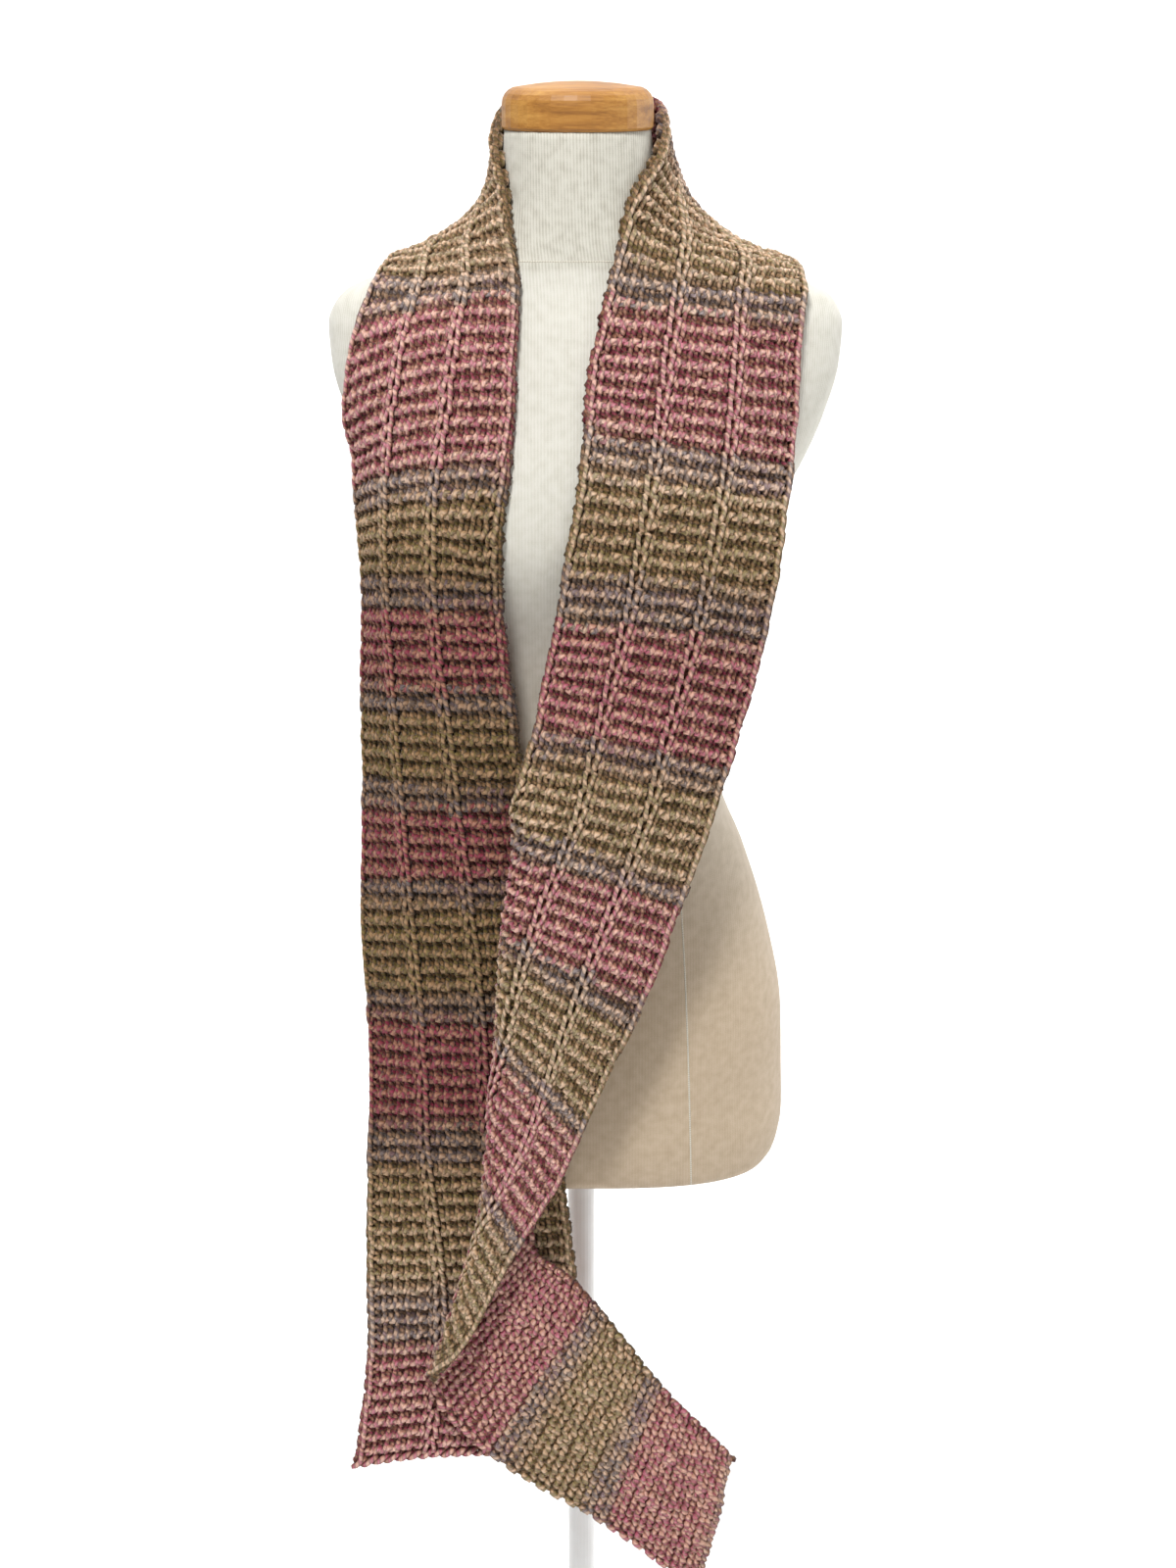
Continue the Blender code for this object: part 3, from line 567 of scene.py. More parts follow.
def wander(shape, spacing, size):
    """Smooth random offsets along each row, which change every `spacing` points."""
    rows, points = shape
    knots = np.arange(0, points + spacing, spacing)
    values = rng.standard_normal((rows, len(knots))) * size
    places = np.arange(points)
    low = np.clip(places // spacing, 0, len(knots) - 2)
    f = (places - knots[low]) / spacing
    f = f * f * (3 - 2 * f)
    return values[:, low] * (1 - f) + values[:, low + 1] * f


def edge_wander():
    """How far each course's two ends stray sideways, in millimetres."""
    spare, few, many = 8, 3, 13
    strays = rng.standard_normal((2, 2 * RIDGES + 2 * spare))
    quick = np.stack([np.convolve(stray, np.ones(few) / few, "same") for stray in strays])
    slow = np.stack([np.convolve(stray, np.hanning(many) * 2 / (many - 1), "same") for stray in strays])
    return (QUICK_STRAY * quick + SLOW_STRAY * slow)[:, spare:-spare]


EDGE_STRAY = edge_wander()


def uneven_radius(shape, spacing, swell):
    """The yarn's radius in metres, where `swell` is the share by which it is thicker."""
    stray = np.clip(wander(shape, spacing, THICK_STRAY), -THICK_LIMIT, THICK_LIMIT)
    return YARN_RADIUS * MM * (1 + swell + stray)


def along_table(along, table):
    """Values at places along the strip, from a table of places and values."""
    places, values = zip(*table)
    return np.interp(along, places, values)


def yarn_dye(spun, across, along):
    """Dye of the yarn at a place along the whole strip. It changes inside the fold."""
    behind = on_grid(GRID_TURNED, across, along)[..., 0] > 0.5
    spun = np.where(behind, np.maximum(spun, FOLD_DYE[1]), np.minimum(spun, FOLD_DYE[0]))
    return along_table(spun, DYE_STRIPES)


def uneven_dye(spun, across, along, spacing):
    """The same, a little uneven along the yarn."""
    return np.clip(yarn_dye(spun, across, along) + wander(across.shape, spacing, DYE_STRAY), 0, 1)


# ---------------------------------------------------------------- meshes
def in_scene(name, data):
    """An object of the scene that shows a mesh, a lamp or a lens."""
    thing = bpy.data.objects.new(name, data)
    bpy.context.scene.collection.objects.link(thing)
    return thing


def new_piece(name, mesh, material):
    """A piece of the object that rides on its one body."""
    piece = in_scene(name, mesh)
    mesh.materials.clear()
    mesh.materials.append(material)
    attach(piece, "root")
    return piece


def mesh_of(name, vertices, corners, sizes):
    """A mesh from its vertices, the vertex at each face's corners and the faces' numbers of corners."""
    mesh = bpy.data.meshes.new(name)
    mesh.vertices.add(vertices.size // 3)
    mesh.vertices.foreach_set("co", vertices.ravel())
    mesh.loops.add(len(corners))
    mesh.loops.foreach_set("vertex_index", corners.astype(np.int32))
    mesh.polygons.add(len(sizes))
    mesh.polygons.foreach_set("loop_start", (np.cumsum(sizes) - sizes).astype(np.int32))
    mesh.update(calc_edges=True)
    return mesh


def store_numbers(mesh, **numbers):
    """Keeps a number for each point of a mesh, or one for all, under the names given."""
    for name, values in numbers.items():
        values = np.broadcast_to(np.ravel(values), len(mesh.vertices))
        mesh.attributes.new(name, "FLOAT", "POINT").data.foreach_set("value", values.copy())


def store_places(mesh, name, places, domain="CORNER"):
    """Keeps a vector for each corner or point of a mesh."""
    mesh.attributes.new(name, "FLOAT_VECTOR", domain).data.foreach_set("vector", np.ravel(places))


def store_bake(mesh, places):
    """Keeps each corner's own place on the sheet that the finish is baked on."""
    mesh.uv_layers.new(name="OFBake").uv.foreach_set("vector", np.ravel(places))


def turning_frames(centres):
    """For rows of tube centres: two directions across each tube that don't spin about it."""
    tangent = np.gradient(centres, axis=1)
    tangent /= np.linalg.norm(tangent, axis=-1, keepdims=True)
    side = np.cross(tangent[:, 0], FIRST_SIDE)
    sides = [side / np.linalg.norm(side, axis=-1, keepdims=True)]
    for k in range(1, centres.shape[1]):
        t = tangent[:, k]
        side = sides[-1] - t * np.sum(sides[-1] * t, axis=-1, keepdims=True)
        sides.append(side / np.linalg.norm(side, axis=-1, keepdims=True))
    side = np.stack(sides, axis=1)
    return side, np.cross(tangent, side)


def openness_of(ring, facing, height):
    """How open to the light each point of a tube is, from 0 at its sides to 1 on top of a ridge."""
    dot = np.einsum("rpsk,rpk->rps", ring, facing)
    risen = ((1 + np.sign(dot) * np.clip(height, -1, 1)[..., None]) / 2)**VALLEY_FADE
    return np.abs(dot)**SIDE_FADE * (VALLEY_OPEN + (1 - VALLEY_OPEN) * risen)


def tube_mesh(name, centres, radius, dye, setting=None, sides=YARN_SIDES):
    """A mesh of closed tubes, one for each row of centres. Each corner keeps its place on the yarn.

    `setting` is what yarn_setting gives for the centres.
    """
    rows, points, _ = centres.shape
    side, up = turning_frames(centres)
    angles = np.arange(sides) * TURN / sides
    ring = side[:, :, None] * np.cos(angles)[:, None] + up[:, :, None] * np.sin(angles)[:, None]
    vertices = centres[:, :, None] + ring * radius[..., None, None]
    index = np.arange(rows * points * sides).reshape(rows, points, sides)
    after = np.roll(index, -1, axis=2)
    quads = np.stack([index[:, :-1], index[:, 1:], after[:, 1:], after[:, :-1]], axis=-1)
    caps = np.concatenate([index[:, 0, :], index[:, -1, ::-1]])
    sizes = np.repeat((4, sides), (quads.size // 4, len(caps)))
    mesh = mesh_of(name, vertices, np.concatenate([quads.ravel(), caps.ravel()]), sizes)
    mesh.shade_smooth()

    # Each corner's tube, its centre in that tube and its place round it, in the order of the faces.
    row, point, around = np.indices((rows, points - 1, sides))[..., None]
    point = point + np.array([0, 1, 1, 0])
    around = around + np.array([0, 0, 1, 1])
    row = row + 0 * point
    row = np.concatenate([row.ravel(), np.tile(np.arange(rows), 2).repeat(sides)])
    point = np.concatenate([point.ravel(), np.repeat([0, points - 1], rows * sides)])
    around = np.concatenate([around.ravel(), np.tile(np.arange(sides), 2 * rows)]) / sides
    walked = np.linalg.norm(np.diff(centres, axis=1), axis=-1) / MM
    walked = np.concatenate((np.zeros((rows, 1)), np.cumsum(walked, axis=1)), axis=1)
    walked += rng.uniform(0, YARN_STARTS, (rows, 1))
    if setting:
        facing, height, depth = setting
        openness = openness_of(ring, facing, height)
        # Each point keeps the painted shade of its place along the strip.
        store_numbers(mesh, openness=openness, dye_depth=np.repeat(depth.ravel(), sides))
    store_places(mesh, "yarn_place", np.stack([walked[row, point], around, dye[row, point]], axis=-1))
    lane = BAKE_GAP + (1 - 2 * BAKE_GAP) * around
    store_bake(mesh, np.stack([point / (points - 1), (row + lane) / rows], axis=-1))
    return mesh


# ---------------------------------------------------------------- the scarf
def yarn_setting(across, along, out):
    """The cloth's normal, how far out the yarn is and the painted shade that darkens its colour along the
    strip.

    How far out runs from -1 at the tips on the wrong side to 1 at those on the right side.
    """
    middle, half = (RIDGE_OUT + BACK_OUT) / 2, (RIDGE_OUT - BACK_OUT) / 2
    height = (out - MIDDLE_OUT - middle) / half
    return on_grid(GRID_NORMALS, across, along), height, along_table(along, SHADE_ALONG_STRIP)


def yarn_piece(name, across, along, out, radius, dye, material, sides=YARN_SIDES):
    """A piece made of strands of yarn, with what its loose fibres need."""
    centres = on_scarf(across, along, out)
    setting = yarn_setting(across, along, out)
    piece = new_piece(name, tube_mesh(name, centres, radius, dye, setting, sides), material)
    return piece, (centres, radius, dye, setting[2])


def knit_courses(name, first, last, material):
    """The courses of yarn from number `first` up to `last`."""
    paths = np.stack([course_path(course) for course in range(first, last)])
    across, along, out = (paths[..., axis] for axis in range(3))
    share = across / STRIP_WIDTH
    stray = EDGE_STRAY[:, first:last, None]
    across += stray[0] * (1 - share)**3 + stray[1] * share**3
    for places, size in zip((across, along, out), LOOP_STRAY):
        places += wander(share.shape, LOOP_SPAN, size)
    raised = np.clip(2 * out / RIDGE_OUT - 1, 0, 1)
    slipped = np.clip((out - RIDGE_OUT) / (SLIP_OUT - RIDGE_OUT), 0, 1)
    sunk = np.clip((FOOT_OUT - out) / (FOOT_OUT - BACK_OUT), 0, 1)
    swell = RIDGE_SWELL * raised - SLIP_SLIM * slipped + BACK_SWELL * sunk
    radius = uneven_radius(share.shape, THICK_SPAN, swell)
    course = np.arange(first, last)[:, None]
    spun = (course + np.where(course % 2 == 0, share, 1 - share)) * COURSE
    dye = uneven_dye(spun, across, along, DYE_SPAN)
    return yarn_piece(name, across, along, out + MIDDLE_OUT, radius, dye, material)


def knit_floats(name, first, last, material):
    """Strands that lie across the wrong side, behind the ridges from number `first` up to `last`."""
    across = np.linspace(FLOAT_MARGIN, STRIP_WIDTH - FLOAT_MARGIN, STITCHES * POINTS_A_FLOAT + 1)
    ridges = np.arange(first, last)[:, None]
    swept = TURN * np.interp(across, STITCH_EDGES, np.arange(STITCHES + 1)) + 0 * ridges
    across = across + 0 * swept
    along = (2 * ridges + 1) * COURSE + FLOAT_SWING[0] * np.sin(swept)
    along += wander(swept.shape, FLOAT_SPAN, FLOAT_STRAY[0])
    out = MIDDLE_OUT + BACK_OUT + FLOAT_LIFT - FLOAT_SWING[1] * np.cos(swept)
    out += wander(swept.shape, FLOAT_SPAN, FLOAT_STRAY[1])
    radius = uneven_radius(swept.shape, FLOAT_THICK_SPAN, BACK_SWELL)
    dye = uneven_dye(along, across, along, FLOAT_DYE_SPAN)
    return yarn_piece(name, across, along, out, radius, dye, material, FLOAT_SIDES)[0]


def knit_edge_rope(name, place, thickness, material):
    """The two strands that wind round each other across an end of the strip."""
    across = np.linspace(ROPE_MARGIN, STRIP_WIDTH - ROPE_MARGIN, STITCHES * POINTS_A_WRAP)
    swept = across / (ROPE_TURN * STRIP_WIDTH / STITCHES) * TURN
    swept = swept + np.array([[0], [math.pi]])
    across = across + 0 * swept
    along = place + thickness * ROPE_SWING[0] * np.cos(swept)
    out = MIDDLE_OUT + ROPE_LIFT + thickness * ROPE_SWING[1] * np.sin(swept)
    radius = thickness * YARN_RADIUS * MM * (1 + wander(swept.shape, ROPE_SPAN, ROPE_STRAY))
    dye = np.full(swept.shape, along_table(np.clip(place, 0, STRIP_LENGTH), DYE_STRIPES))
    return yarn_piece(name, across, along, out, radius, dye, material)[0]


def loose_ends(name, yarns, count, material):
    """Fine fibres that stand off the yarn. Each is one sliver, with its own place on the yarn."""
    parts = []
    for centres, radius, dye, depth in yarns:
        number = round(count * len(centres) / sum(len(yarn[0]) for yarn in yarns))
        row = rng.integers(0, len(centres), number)
        point = rng.integers(1, centres.shape[1] - 1, number)
        along = centres[row, point + 1] - centres[row, point - 1]
        along /= np.linalg.norm(along, axis=-1, keepdims=True)
        side = np.cross(along, rng.standard_normal((number, 3)))
        side /= np.linalg.norm(side, axis=-1, keepdims=True)
        start = centres[row, point] + side * radius[row, point, None] * FIBRE_ROOT
        way = FIBRE_ALONG * along * rng.choice((-1, 1), (number, 1)) + side
        way += FIBRE_ASTRAY * rng.standard_normal((number, 3))
        parts.append((start, way, dye[row, point], depth[row, point]))
    start, way, dye, depth = (np.concatenate(part) for part in zip(*parts))
    number = len(start)
    way /= np.linalg.norm(way, axis=-1, keepdims=True)
    length = rng.uniform(FIBRE_LENGTH[0], FIBRE_LENGTH[1], (number, 1)) * MM
    width = np.cross(way, rng.standard_normal((number, 3)))
    width *= FIBRE_WIDTH / 2 * MM / np.linalg.norm(width, axis=-1, keepdims=True)
    vertices = np.stack([start - width, start + width, start + way * length], axis=1)
    mesh = mesh_of(name, vertices, np.arange(3 * number), np.full(number, 3))
    place = np.stack([rng.uniform(0, YARN_STARTS, number), rng.uniform(0, 1, number), dye], axis=-1)
    store_places(mesh, "yarn_place", np.repeat(place, 3, axis=0))
    # Each fibre keeps the painted shade of the yarn it stands on.
    store_numbers(mesh, openness=LOOSE_OPEN, dye_depth=np.repeat(depth, 3))
    cells = math.ceil(math.sqrt(number))
    cell = np.stack([np.arange(number) % cells, np.arange(number) // cells], axis=-1)[:, None]
    store_bake(mesh, (cell + np.array(BAKE_SLIVER)) / cells)
    return new_piece(name, mesh, material)


def knit_ground(material):
    """The close web inside the knitting, where the loops cross."""
    steps = np.arange(4 * RIDGES + 1)
    along = np.clip(steps * COURSE / 2, GROUND_SHORT, STRIP_LENGTH - GROUND_SHORT)
    across = np.linspace(GROUND_MARGIN, STRIP_WIDTH - GROUND_MARGIN, GROUND_COLUMNS)
    along, across = np.meshgrid(along, across, indexing="ij")
    wave = np.array((-1, 0, 1, 0))[steps % 4, None] * GROUND_WAVE + 0 * across
    faces = [on_scarf(across, along, wave + MIDDLE_OUT + out) for out in (GROUND_BACK, GROUND_FRONT)]
    index = np.arange(across.size).reshape(across.shape)
    low = np.stack([index[:-1, :-1], index[1:, :-1], index[1:, 1:], index[:-1, 1:]], axis=-1).reshape(-1, 4)
    border = np.concatenate([index[0, :-1], index[:-1, -1], index[-1, :0:-1], index[:0:-1, 0]])
    after = np.roll(border, -1)
    rim = np.stack([border, after, after + across.size, border + across.size], axis=-1)
    polygons = np.concatenate([low[:, ::-1], low + across.size, rim[:, ::-1]])
    mesh = mesh_of("scarf_ground", np.array(faces), polygons.ravel(), np.full(len(polygons), 4))
    mesh.shade_smooth()
    place = np.stack([across, along / COURSE, yarn_dye(along, across, along)], axis=-1)
    store_places(mesh, "yarn_place", [place, place], "POINT")
    # Painted shade: the web's yarn is dimmed as deep in the knitting, and darkened along the strip like the
    # rest.
    store_numbers(mesh, openness=GROUND_OPEN, dye_depth=np.tile(along_table(along, SHADE_ALONG_STRIP).ravel(), 2))
    return new_piece("scarf_ground", mesh, material)


def course_at(row_name):
    """The nearest course that starts a ridge."""
    return 2 * round(length_at(row_name) / COURSE / 2)


def dress_scarf(marl):
    yarn = yarn_material(marl)
    top_left, top_right = course_at("left_shoulder_top"), course_at("right_shoulder_top")
    waist = course_at("right_waist")
    middle_left, middle_tail = top_left // 4 * 2, (waist + 2 * RIDGES) // 4 * 2
    stretches = (
        ("yarn_left_lower", 0, middle_left, "scarf_left_front"),
        ("yarn_left_upper", middle_left, top_left, "scarf_left_front"),
        ("yarn_neck", top_left, top_right, "scarf_neck"),
        ("yarn_right_front", top_right, waist, "scarf_right_front"),
        ("yarn_right_fold", waist, middle_tail, "scarf_right_tail"),
        ("yarn_right_tail", middle_tail, 2 * RIDGES, "scarf_right_tail"),
    )
    pieces, yarns = [], []
    for name, first, last, node in stretches:
        piece, strands = knit_courses(name, first, last, yarn)
        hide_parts(node)
        pieces.append(piece)
        yarns.append(strands)
    backs = (("floats_left", 0, top_left), ("floats_neck", top_left, top_right),
             ("floats_right", top_right, waist), ("floats_tail", waist, 2 * RIDGES))
    pieces += [knit_floats(name, first // 2, last // 2, yarn) for name, first, last in backs]
    pieces.append(loose_ends("fuzz_left", yarns[:3], FIBRES, yarn))
    pieces.append(loose_ends("fuzz_right", yarns[3:], FIBRES, yarn))
    pieces.append(knit_edge_rope("cast_off_edge", -CAST_OFF_PAST, CAST_OFF_THICK, yarn))
    pieces.append(knit_edge_rope("cast_on_edge", STRIP_LENGTH - CAST_ON_SHORT, CAST_ON_THICK, yarn))
    ground = knit_ground(yarn)
    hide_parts("scarf_left_front", "scarf_neck", "scarf_right_front", "scarf_right_tail")


# ---------------------------------------------------------------- the form, cap and stand
def form_cover(material):
    """The padded form in jersey, finer than its solid."""
    heights = [np.linspace(low, high, steps, endpoint=False) for low, high, steps in FORM_RINGS]
    heights = np.concatenate(heights + [FORM_HEIGHTS[-1:]])
    angle = np.linspace(0, TURN, FORM_AROUND, endpoint=False)
    points = form_surface(angle[None, :], heights[:, None] * np.ones((1, FORM_AROUND)))
    rings = len(heights)
    index = np.arange(rings * FORM_AROUND).reshape(rings, FORM_AROUND)
    after = np.roll(index, -1, axis=1)
    quads = np.stack([index[:-1], after[:-1], after[1:], index[1:]], axis=-1)
    corners = np.concatenate([quads.ravel(), index[0, ::-1], index[-1]])
    sizes = np.repeat((4, FORM_AROUND), (quads.size // 4, 2))
    mesh = mesh_of("form_cover", points, corners, sizes)
    mesh.shade_smooth()

    # The ribs run down from the neck, evenly spaced, and meet in a line at the back.
    step = np.linalg.norm(np.diff(points, axis=1, append=points[:, :1]), axis=-1) / MM
    walked = np.concatenate((np.zeros((rings, 1)), np.cumsum(step, axis=1)), axis=1)
    ring, around = np.indices((rings - 1, FORM_AROUND))[..., None]
    past_back = around < FORM_AROUND // 4
    around = around + np.array([0, 1, 1, 0])
    ring = ring + np.array([0, 0, 1, 1])
    from_front = walked[ring, around] - walked[ring, 3 * FORM_AROUND // 4]
    from_front = from_front + np.where(past_back, walked[ring, -1], 0)
    place = np.stack([from_front, heights[ring], 0 * from_front], axis=-1).reshape(-1, 3)
    store_places(mesh, "jersey_place", np.concatenate([place, np.zeros((2 * FORM_AROUND, 3))]))
    cover = new_piece("form_cover", mesh, material)
    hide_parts("form_torso")


def form_seam(name, points, thickness, material):
    """A sewn seam: a fine raised line on the jersey."""
    radius = np.full((1, len(points)), thickness * MM)
    return new_piece(name, tube_mesh(name, points[None], radius, 0 * radius), material)


def dress_form(fibres):
    form_cover(jersey_material(fibres))
    seam = seam_material()
    angle = np.linspace(0, TURN, NECK_SEAM_POINTS)
    height = NECK_SEAM - NECK_SEAM_DIP * np.sin(angle)
    form_seam("seam_neck_root", form_surface(angle, height, -SEAM_SUNK), NECK_SEAM_THICK, seam)
    heights = np.linspace(FORM_HEIGHTS[0] + HEM_GAP, PRINCESS_SEAM[-1][0], PRINCESS_POINTS)
    for side, name in ((1, "seam_princess_a"), (-1, "seam_princess_b")):
        off = level_curve(*zip(*PRINCESS_SEAM))(heights) / FORM_HALF(heights)
        turn = -np.arccos(side * off**(FORM_SQUARE(heights) / 2))
        form_seam(name, form_surface(turn, heights, -SEAM_SUNK), PRINCESS_THICK, seam)


def dress_hard_parts():
    for node, material in (("neck_cap", wood_material()), ("stand_base", enamel_material()),
                           ("stand_post", enamel_material())):
        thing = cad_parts[node]
        thing.data.materials.clear()
        thing.data.materials.append(material)


# ---------------------------------------------------------------- nodes
class Bench:
    """The nodes of one material or group, with short ways to add the usual ones."""

    def __init__(self, tree):
        self.nodes, self.links = tree.nodes, tree.links

    def feed(self, node, values):
        """Gives a node's inputs their values: numbers, colours or the sockets that feed them."""
        for label, value in values.items():
            if isinstance(value, bpy.types.NodeSocket):
                self.links.new(value, node.inputs[label])
            else:
                node.inputs[label].default_value = value

    def add(self, kind, values=None, **settings):
        node = self.nodes.new("ShaderNode" + kind)
        for name, setting in settings.items():
            setattr(node, name, setting)
        self.feed(node, values or {})
        return node

    def maths(self, operation, *values):
        return self.add("Math", dict(enumerate(values)), operation=operation).outputs[0]

    def mixed(self, share, first, second):
        return self.add("Mix", {0: share, 6: first, 7: second}, data_type="RGBA").outputs[2]

    def scaled(self, colour, share):
        return self.add("VectorMath", {0: colour, "Scale": share}, operation="SCALE").outputs[0]

    def mapped(self, value, start, end, low=0.0, high=1.0, curve="SMOOTHSTEP"):
        """Carries `start` to `low` and `end` to `high`."""
        values = {"Value": value, "From Min": start, "From Max": end, "To Min": low, "To Max": high}
        return self.add("MapRange", values, interpolation_type=curve).outputs[0]

    def ramp(self, value, stops):
        ramp = self.add("ValToRGB", {0: value})
        elements = ramp.color_ramp.elements
        while len(elements) < len(stops):
            elements.new(1.0)
        for element, (place, colour) in zip(elements, stops):
            element.position = place
            element.color = (*colour, 1)
        return ramp.outputs[0]

    def noise(self, vector, scale, detail=2.0, roughness=0.5):
        values = {"Vector": vector, "Scale": scale, "Detail": detail, "Roughness": roughness}
        return self.add("TexNoise", values).outputs["Fac"]

    def bump(self, height, distance, strength=1.0):
        return self.add("Bump", {"Height": height, "Distance": distance, "Strength": strength}).outputs[0]

    def split(self, vector):
        return self.add("SeparateXYZ", {0: vector}).outputs

    def joined(self, **axes):
        return self.add("CombineXYZ", axes).outputs[0]

    def stored(self, name):
        """What the mesh keeps under a name."""
        return self.add("Attribute", attribute_name=name).outputs

    def stretched(self, vector, scale):
        return self.add("Mapping", {"Vector": vector, "Scale": scale}).outputs[0]


def new_material(name):
    material = bpy.data.materials.new(name)
    material.use_nodes = True
    return material, Bench(material.node_tree), material.node_tree.nodes["Principled BSDF"]


def new_group(name, inputs, outputs):
    """A shader node group with named float, vector or colour sockets."""
    kinds = {"value": "NodeSocketFloat", "vector": "NodeSocketVector", "colour": "NodeSocketColor"}
    group = bpy.data.node_groups.new(name, "ShaderNodeTree")
    for way, sockets in (("INPUT", inputs), ("OUTPUT", outputs)):
        for label, kind in sockets.items():
            group.interface.new_socket(label, in_out=way, socket_type=kinds[kind])
    source, sink = group.nodes.new("NodeGroupInput"), group.nodes.new("NodeGroupOutput")
    return group, Bench(group), source.outputs, sink


def fibre_group():
    """Loose fibres: streaks along one axis of the place given."""
    group, bench, given, sink = new_group(
        "loose fibres", {"Place": "vector", "Length": "value"}, {"Streaks": "value", "Mottle": "value"})
    x, y, z = bench.split(given["Place"])
    drawn = bench.joined(X=bench.maths("DIVIDE", x, given["Length"]), Y=y, Z=z)
    bench.feed(sink, {"Streaks": bench.noise(drawn, 1.0, 3.0, 0.6),
                      "Mottle": bench.noise(given["Place"], 0.12, 1.0)})
    return group


def marl_group():
    """Two plies twisted together, one camel and one dyed: their colour and height."""
    group, bench, given, sink = new_group(
        "two-ply marl", {"Yarn Place": "vector", "Pitch": "value"}, {"Colour": "colour", "Height": "value"})
    maths = bench.maths
    along, around, dye = bench.split(given["Yarn Place"])
    turns = maths("ADD", maths("DIVIDE", along, given["Pitch"]), around)
    angle = maths("MULTIPLY", turns, TURN)

    # Streaks run along the twisted fibres: they stay put where the turns are the same.
    place = bench.joined(X=maths("MULTIPLY", along, STREAK_ALONG),
                         Y=maths("MULTIPLY", maths("SINE", angle), STREAK_AROUND),
                         Z=maths("MULTIPLY", maths("COSINE", angle), STREAK_AROUND))
    streaks = bench.noise(place, 1.3, 4.0, 0.7)
    bent = maths("MULTIPLY_ADD", streaks, STREAK_BEND, turns)
    swing = maths("COSINE", maths("MULTIPLY", bent, TURN))
    patches = bench.noise(bench.joined(X=along), 0.09, 2.0, 0.6)

    # The dyed ply is deep between its fibres and pale on them. A little of its dye stains the camel.
    hue = maths("ADD", dye, maths("MULTIPLY_ADD", patches, DYE_PATCHES, -DYE_PATCHES / 2))
    deep, pale = bench.ramp(hue, DEEP_DYES), bench.ramp(hue, PALE_DYES)
    lift = bench.add("Clamp", {"Value": maths("MULTIPLY_ADD", streaks, 4.0, -1.8)}).outputs[0]
    dyed = bench.mixed(lift, deep, pale)
    camel = bench.mixed(CAMEL_STAIN, bench.ramp(streaks, CAMEL), pale)
    plies = bench.mixed(bench.mapped(swing, *PLY_EDGE), dyed, camel)

    # The plies are lobes with a groove between them, where less light falls.
    lobes = maths("SQRT", maths("ABSOLUTE", maths("ADD", swing, PLY_GROOVE)))
    shade = maths("MULTIPLY_ADD", lobes, 0.85, 0.14)
    shade = maths("MINIMUM", maths("MULTIPLY_ADD", patches, 0.7, shade), 1.2)
    height = maths("ADD", lobes, maths("MULTIPLY", streaks, 0.5))
    bench.feed(sink, {"Colour": bench.scaled(plies, shade), "Height": height})
    return group


# ---------------------------------------------------------------- materials
def yarn_material(marl):
    material, bench, shader = new_material("marled yarn")
    place = bench.stored("yarn_place")["Vector"]
    twist = bench.add("Group", node_tree=marl)
    bench.feed(twist, {"Yarn Place": place, "Pitch": TWIST_PITCH})
    # Painted shade: the colour is darkened where the yarn is less open to the light, and again by the
    # painted shade along the strip.
    openness, dye_depth = bench.stored("openness")["Fac"], bench.stored("dye_depth")["Fac"]
    light = bench.maths("MULTIPLY", bench.mapped(openness, *OPEN_LIGHT), dye_depth)
    colour = bench.scaled(twist.outputs["Colour"], light)
    # Painted light and shade: where the yarn is less lit its colours are painted richer, as in shade, and
    # where it is lit they are painted paler, as under a highlight.
    lit = bench.maths("MULTIPLY", openness, dye_depth)
    richness = bench.mapped(lit, *OPEN_RICHNESS, "LINEAR")
    painted_light_colour = bench.add("HueSaturation", {"Color": colour, "Saturation": richness}).outputs["Color"]
    bench.feed(shader, {
        "Base Color": painted_light_colour, "Normal": bench.bump(twist.outputs["Height"], 0.0009),
        "Roughness": 0.9, "Specular IOR Level": 0.15, "Sheen Weight": 0.12, "Sheen Roughness": 0.5})
    return material


def jersey_material(fibres):
    material, bench, shader = new_material("cream jersey")
    maths = bench.maths
    place = bench.stored("jersey_place")["Vector"]
    from_front, height, _ = bench.split(place)
    streaks = bench.add("Group", node_tree=fibres)
    bench.feed(streaks, {"Place": place, "Length": 1.0})
    wale = maths("SINE", maths("MULTIPLY", from_front, TURN / JERSEY_WALE))
    wale = maths("MULTIPLY", wale, maths("MULTIPLY_ADD", bench.mapped(height, *TAUT), -0.65, 0.9))
    loops = maths("SINE", maths("MULTIPLY", height, TURN / JERSEY_COURSE))
    stipple = maths("MULTIPLY_ADD", loops, 0.05, streaks.outputs["Streaks"])
    raised = maths("ADD", maths("MULTIPLY_ADD", wale, 0.5, 0.5), stipple)
    mottle = maths("MULTIPLY_ADD", streaks.outputs["Mottle"], 0.6, 0.2)
    shade = maths("MULTIPLY_ADD", raised, 0.35, mottle)
    colour = bench.ramp(shade, BASE_JERSEY)
    # Painted shade: darker on the neck, darker and warmer toward the hips as in warm bounce light, and a
    # dark band at the bottom that is partly its binding.
    for stretch, stops in ((NECK_EDGE, NECK_SHADE_JERSEY), (HIP_SHADE, HIP_SHADE_JERSEY), (HEM_AND_SHADE, HEM_AND_SHADE_JERSEY)):
        colour = bench.mixed(bench.mapped(height, *stretch), colour, bench.ramp(shade, stops))
    bench.feed(shader, {"Base Color": colour, "Normal": bench.bump(raised, 0.0003, 0.6),
                        "Roughness": 0.95, "Sheen Weight": 0.15})
    return material


def seam_material():
    material, bench, shader = new_material("seam in the jersey")
    place = bench.stored("yarn_place")["Vector"]
    stitches = bench.add("TexWave", {"Scale": 0.16, "Vector": place}).outputs["Fac"]
    bench.feed(shader, {"Base Color": bench.ramp(stitches, SEAM_THREAD),
                        "Normal": bench.bump(stitches, 0.0003), "Roughness": 0.9})
    return material


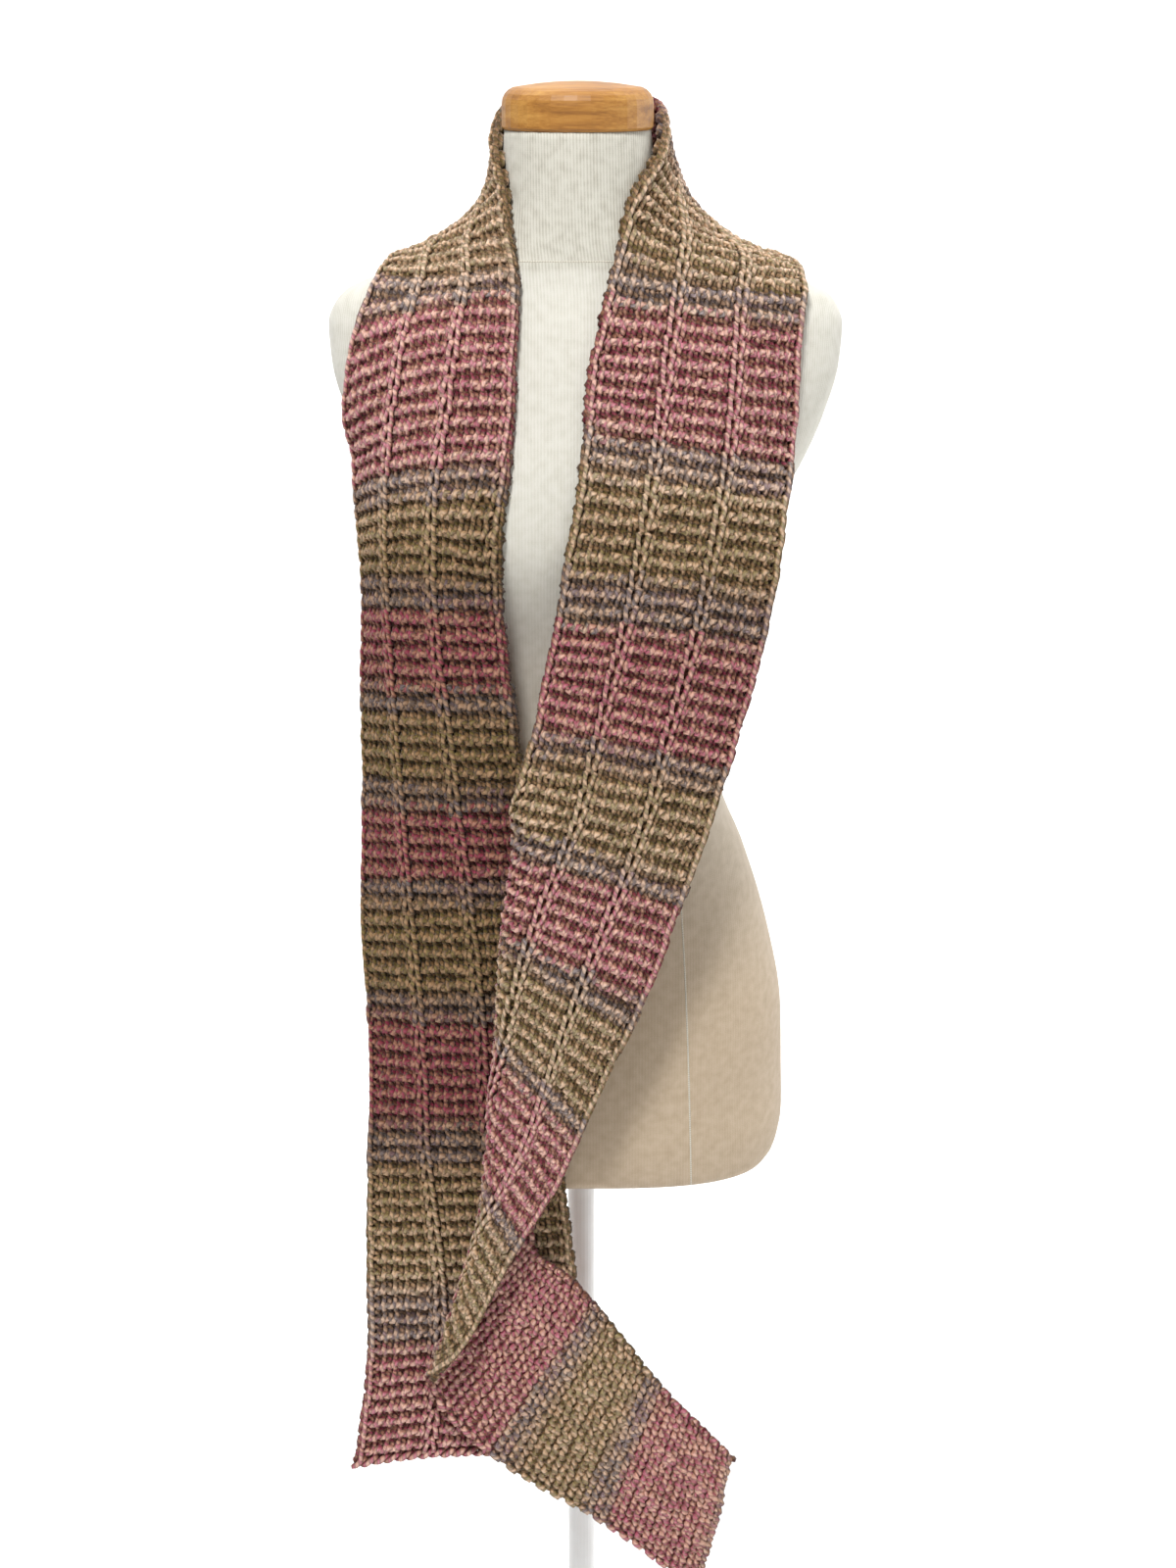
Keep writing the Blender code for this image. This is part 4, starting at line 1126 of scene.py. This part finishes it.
def wood_material():
    material, bench, shader = new_material("varnished beech")
    place = bench.add("TexCoord").outputs["Object"]
    grain = bench.noise(bench.stretched(place, (7, 40, 130)), 1.0, 4.0, 0.6)
    pores = bench.noise(bench.stretched(place, (60, 500, 900)), 1.0, 2.0, 0.5)
    shade = bench.maths("MULTIPLY_ADD", pores, 0.3, grain)
    bench.feed(shader, {
        "Base Color": bench.ramp(shade, BEECH), "Normal": bench.bump(pores, 0.0002, 0.3),
        "Roughness": bench.maths("MULTIPLY_ADD", pores, 0.2, 0.42),
        "Coat Weight": 0.08, "Coat Roughness": 0.5})
    return material


def enamel_material():
    material, bench, shader = new_material("white enamel")
    place = bench.add("TexCoord").outputs["Object"]
    dust = bench.noise(place, 18.0, 4.0)
    bench.feed(shader, {
        "Base Color": bench.ramp(dust, ENAMEL), "Normal": bench.bump(bench.noise(place, 450.0), 0.0001, 0.3),
        "Roughness": bench.maths("MULTIPLY_ADD", dust, 0.25, 0.25)})
    return material


def stage_material():
    material, bench, shader = new_material("pale studio floor")
    clouds = bench.noise(bench.add("TexCoord").outputs["Object"], 1.5, 3.0)
    bench.feed(shader, {"Base Color": bench.ramp(clouds, FLOOR), "Roughness": 1.0,
                        "Emission Color": (1, 1, 1, 1), "Emission Strength": 0.1})
    return material


# ---------------------------------------------------------------- studio
def studio_stage(material):
    """A floor that sweeps up into a backdrop."""
    bend = np.linspace(SWEEP_START, math.pi / 2, SWEEP_STEPS)
    profile = [(FLOOR_FRONT, 0.0), (FLOOR_BACK, 0.0)]
    profile += [(FLOOR_BACK + SWEEP_RADIUS * math.sin(a), SWEEP_RADIUS - SWEEP_RADIUS * math.cos(a))
                for a in bend]
    profile += [(FLOOR_BACK + SWEEP_RADIUS, SWEEP_TOP)]
    points = [(side * FLOOR_HALF, y, z - FLOOR_GAP) for y, z in profile for side in (-1, 1)]
    faces = [(2 * k, 2 * k + 1, 2 * k + 3, 2 * k + 2) for k in range(len(profile) - 1)]
    mesh = bpy.data.meshes.new("studio_sweep")
    mesh.from_pydata(points, [], faces)
    mesh.shade_smooth()
    mesh.materials.append(material)
    in_scene("studio_sweep", mesh)


def studio_light(name, place, aim, size, power):
    lamp = bpy.data.lights.new(name, "AREA")
    lamp.shape = "RECTANGLE"
    lamp.size, lamp.size_y = size
    lamp.energy = power
    light = in_scene(name, lamp)
    light.location = place
    light.rotation_euler = (Vector(aim) - Vector(place)).to_track_quat("-Z", "Y").to_euler()


def studio():
    for light in LIGHTS:
        studio_light(*light)
    world = bpy.data.worlds.new("studio air")
    world.use_nodes = True
    air = Bench(world.node_tree)
    air.feed(air.nodes["Background"], {"Color": (1, 1, 1, 1), "Strength": AIR_LIGHT})
    bpy.context.scene.world = world
    bpy.context.scene.view_settings.view_transform = "Standard"


def camera():
    lens = bpy.data.cameras.new("camera")
    lens.sensor_width = SENSOR
    lens.lens = LENS_PIXELS / FRAME_PIXELS * SENSOR
    viewer = in_scene("camera", lens)
    viewer.location = CAMERA_PLACE
    viewer.rotation_euler = (math.pi / 2 - CAMERA_TILT, 0, 0)
    bpy.context.scene.camera = viewer


camera()
studio()
studio_stage(stage_material())
loose_fibres = fibre_group()
dress_scarf(marl_group())
dress_form(loose_fibres)
dress_hard_parts()
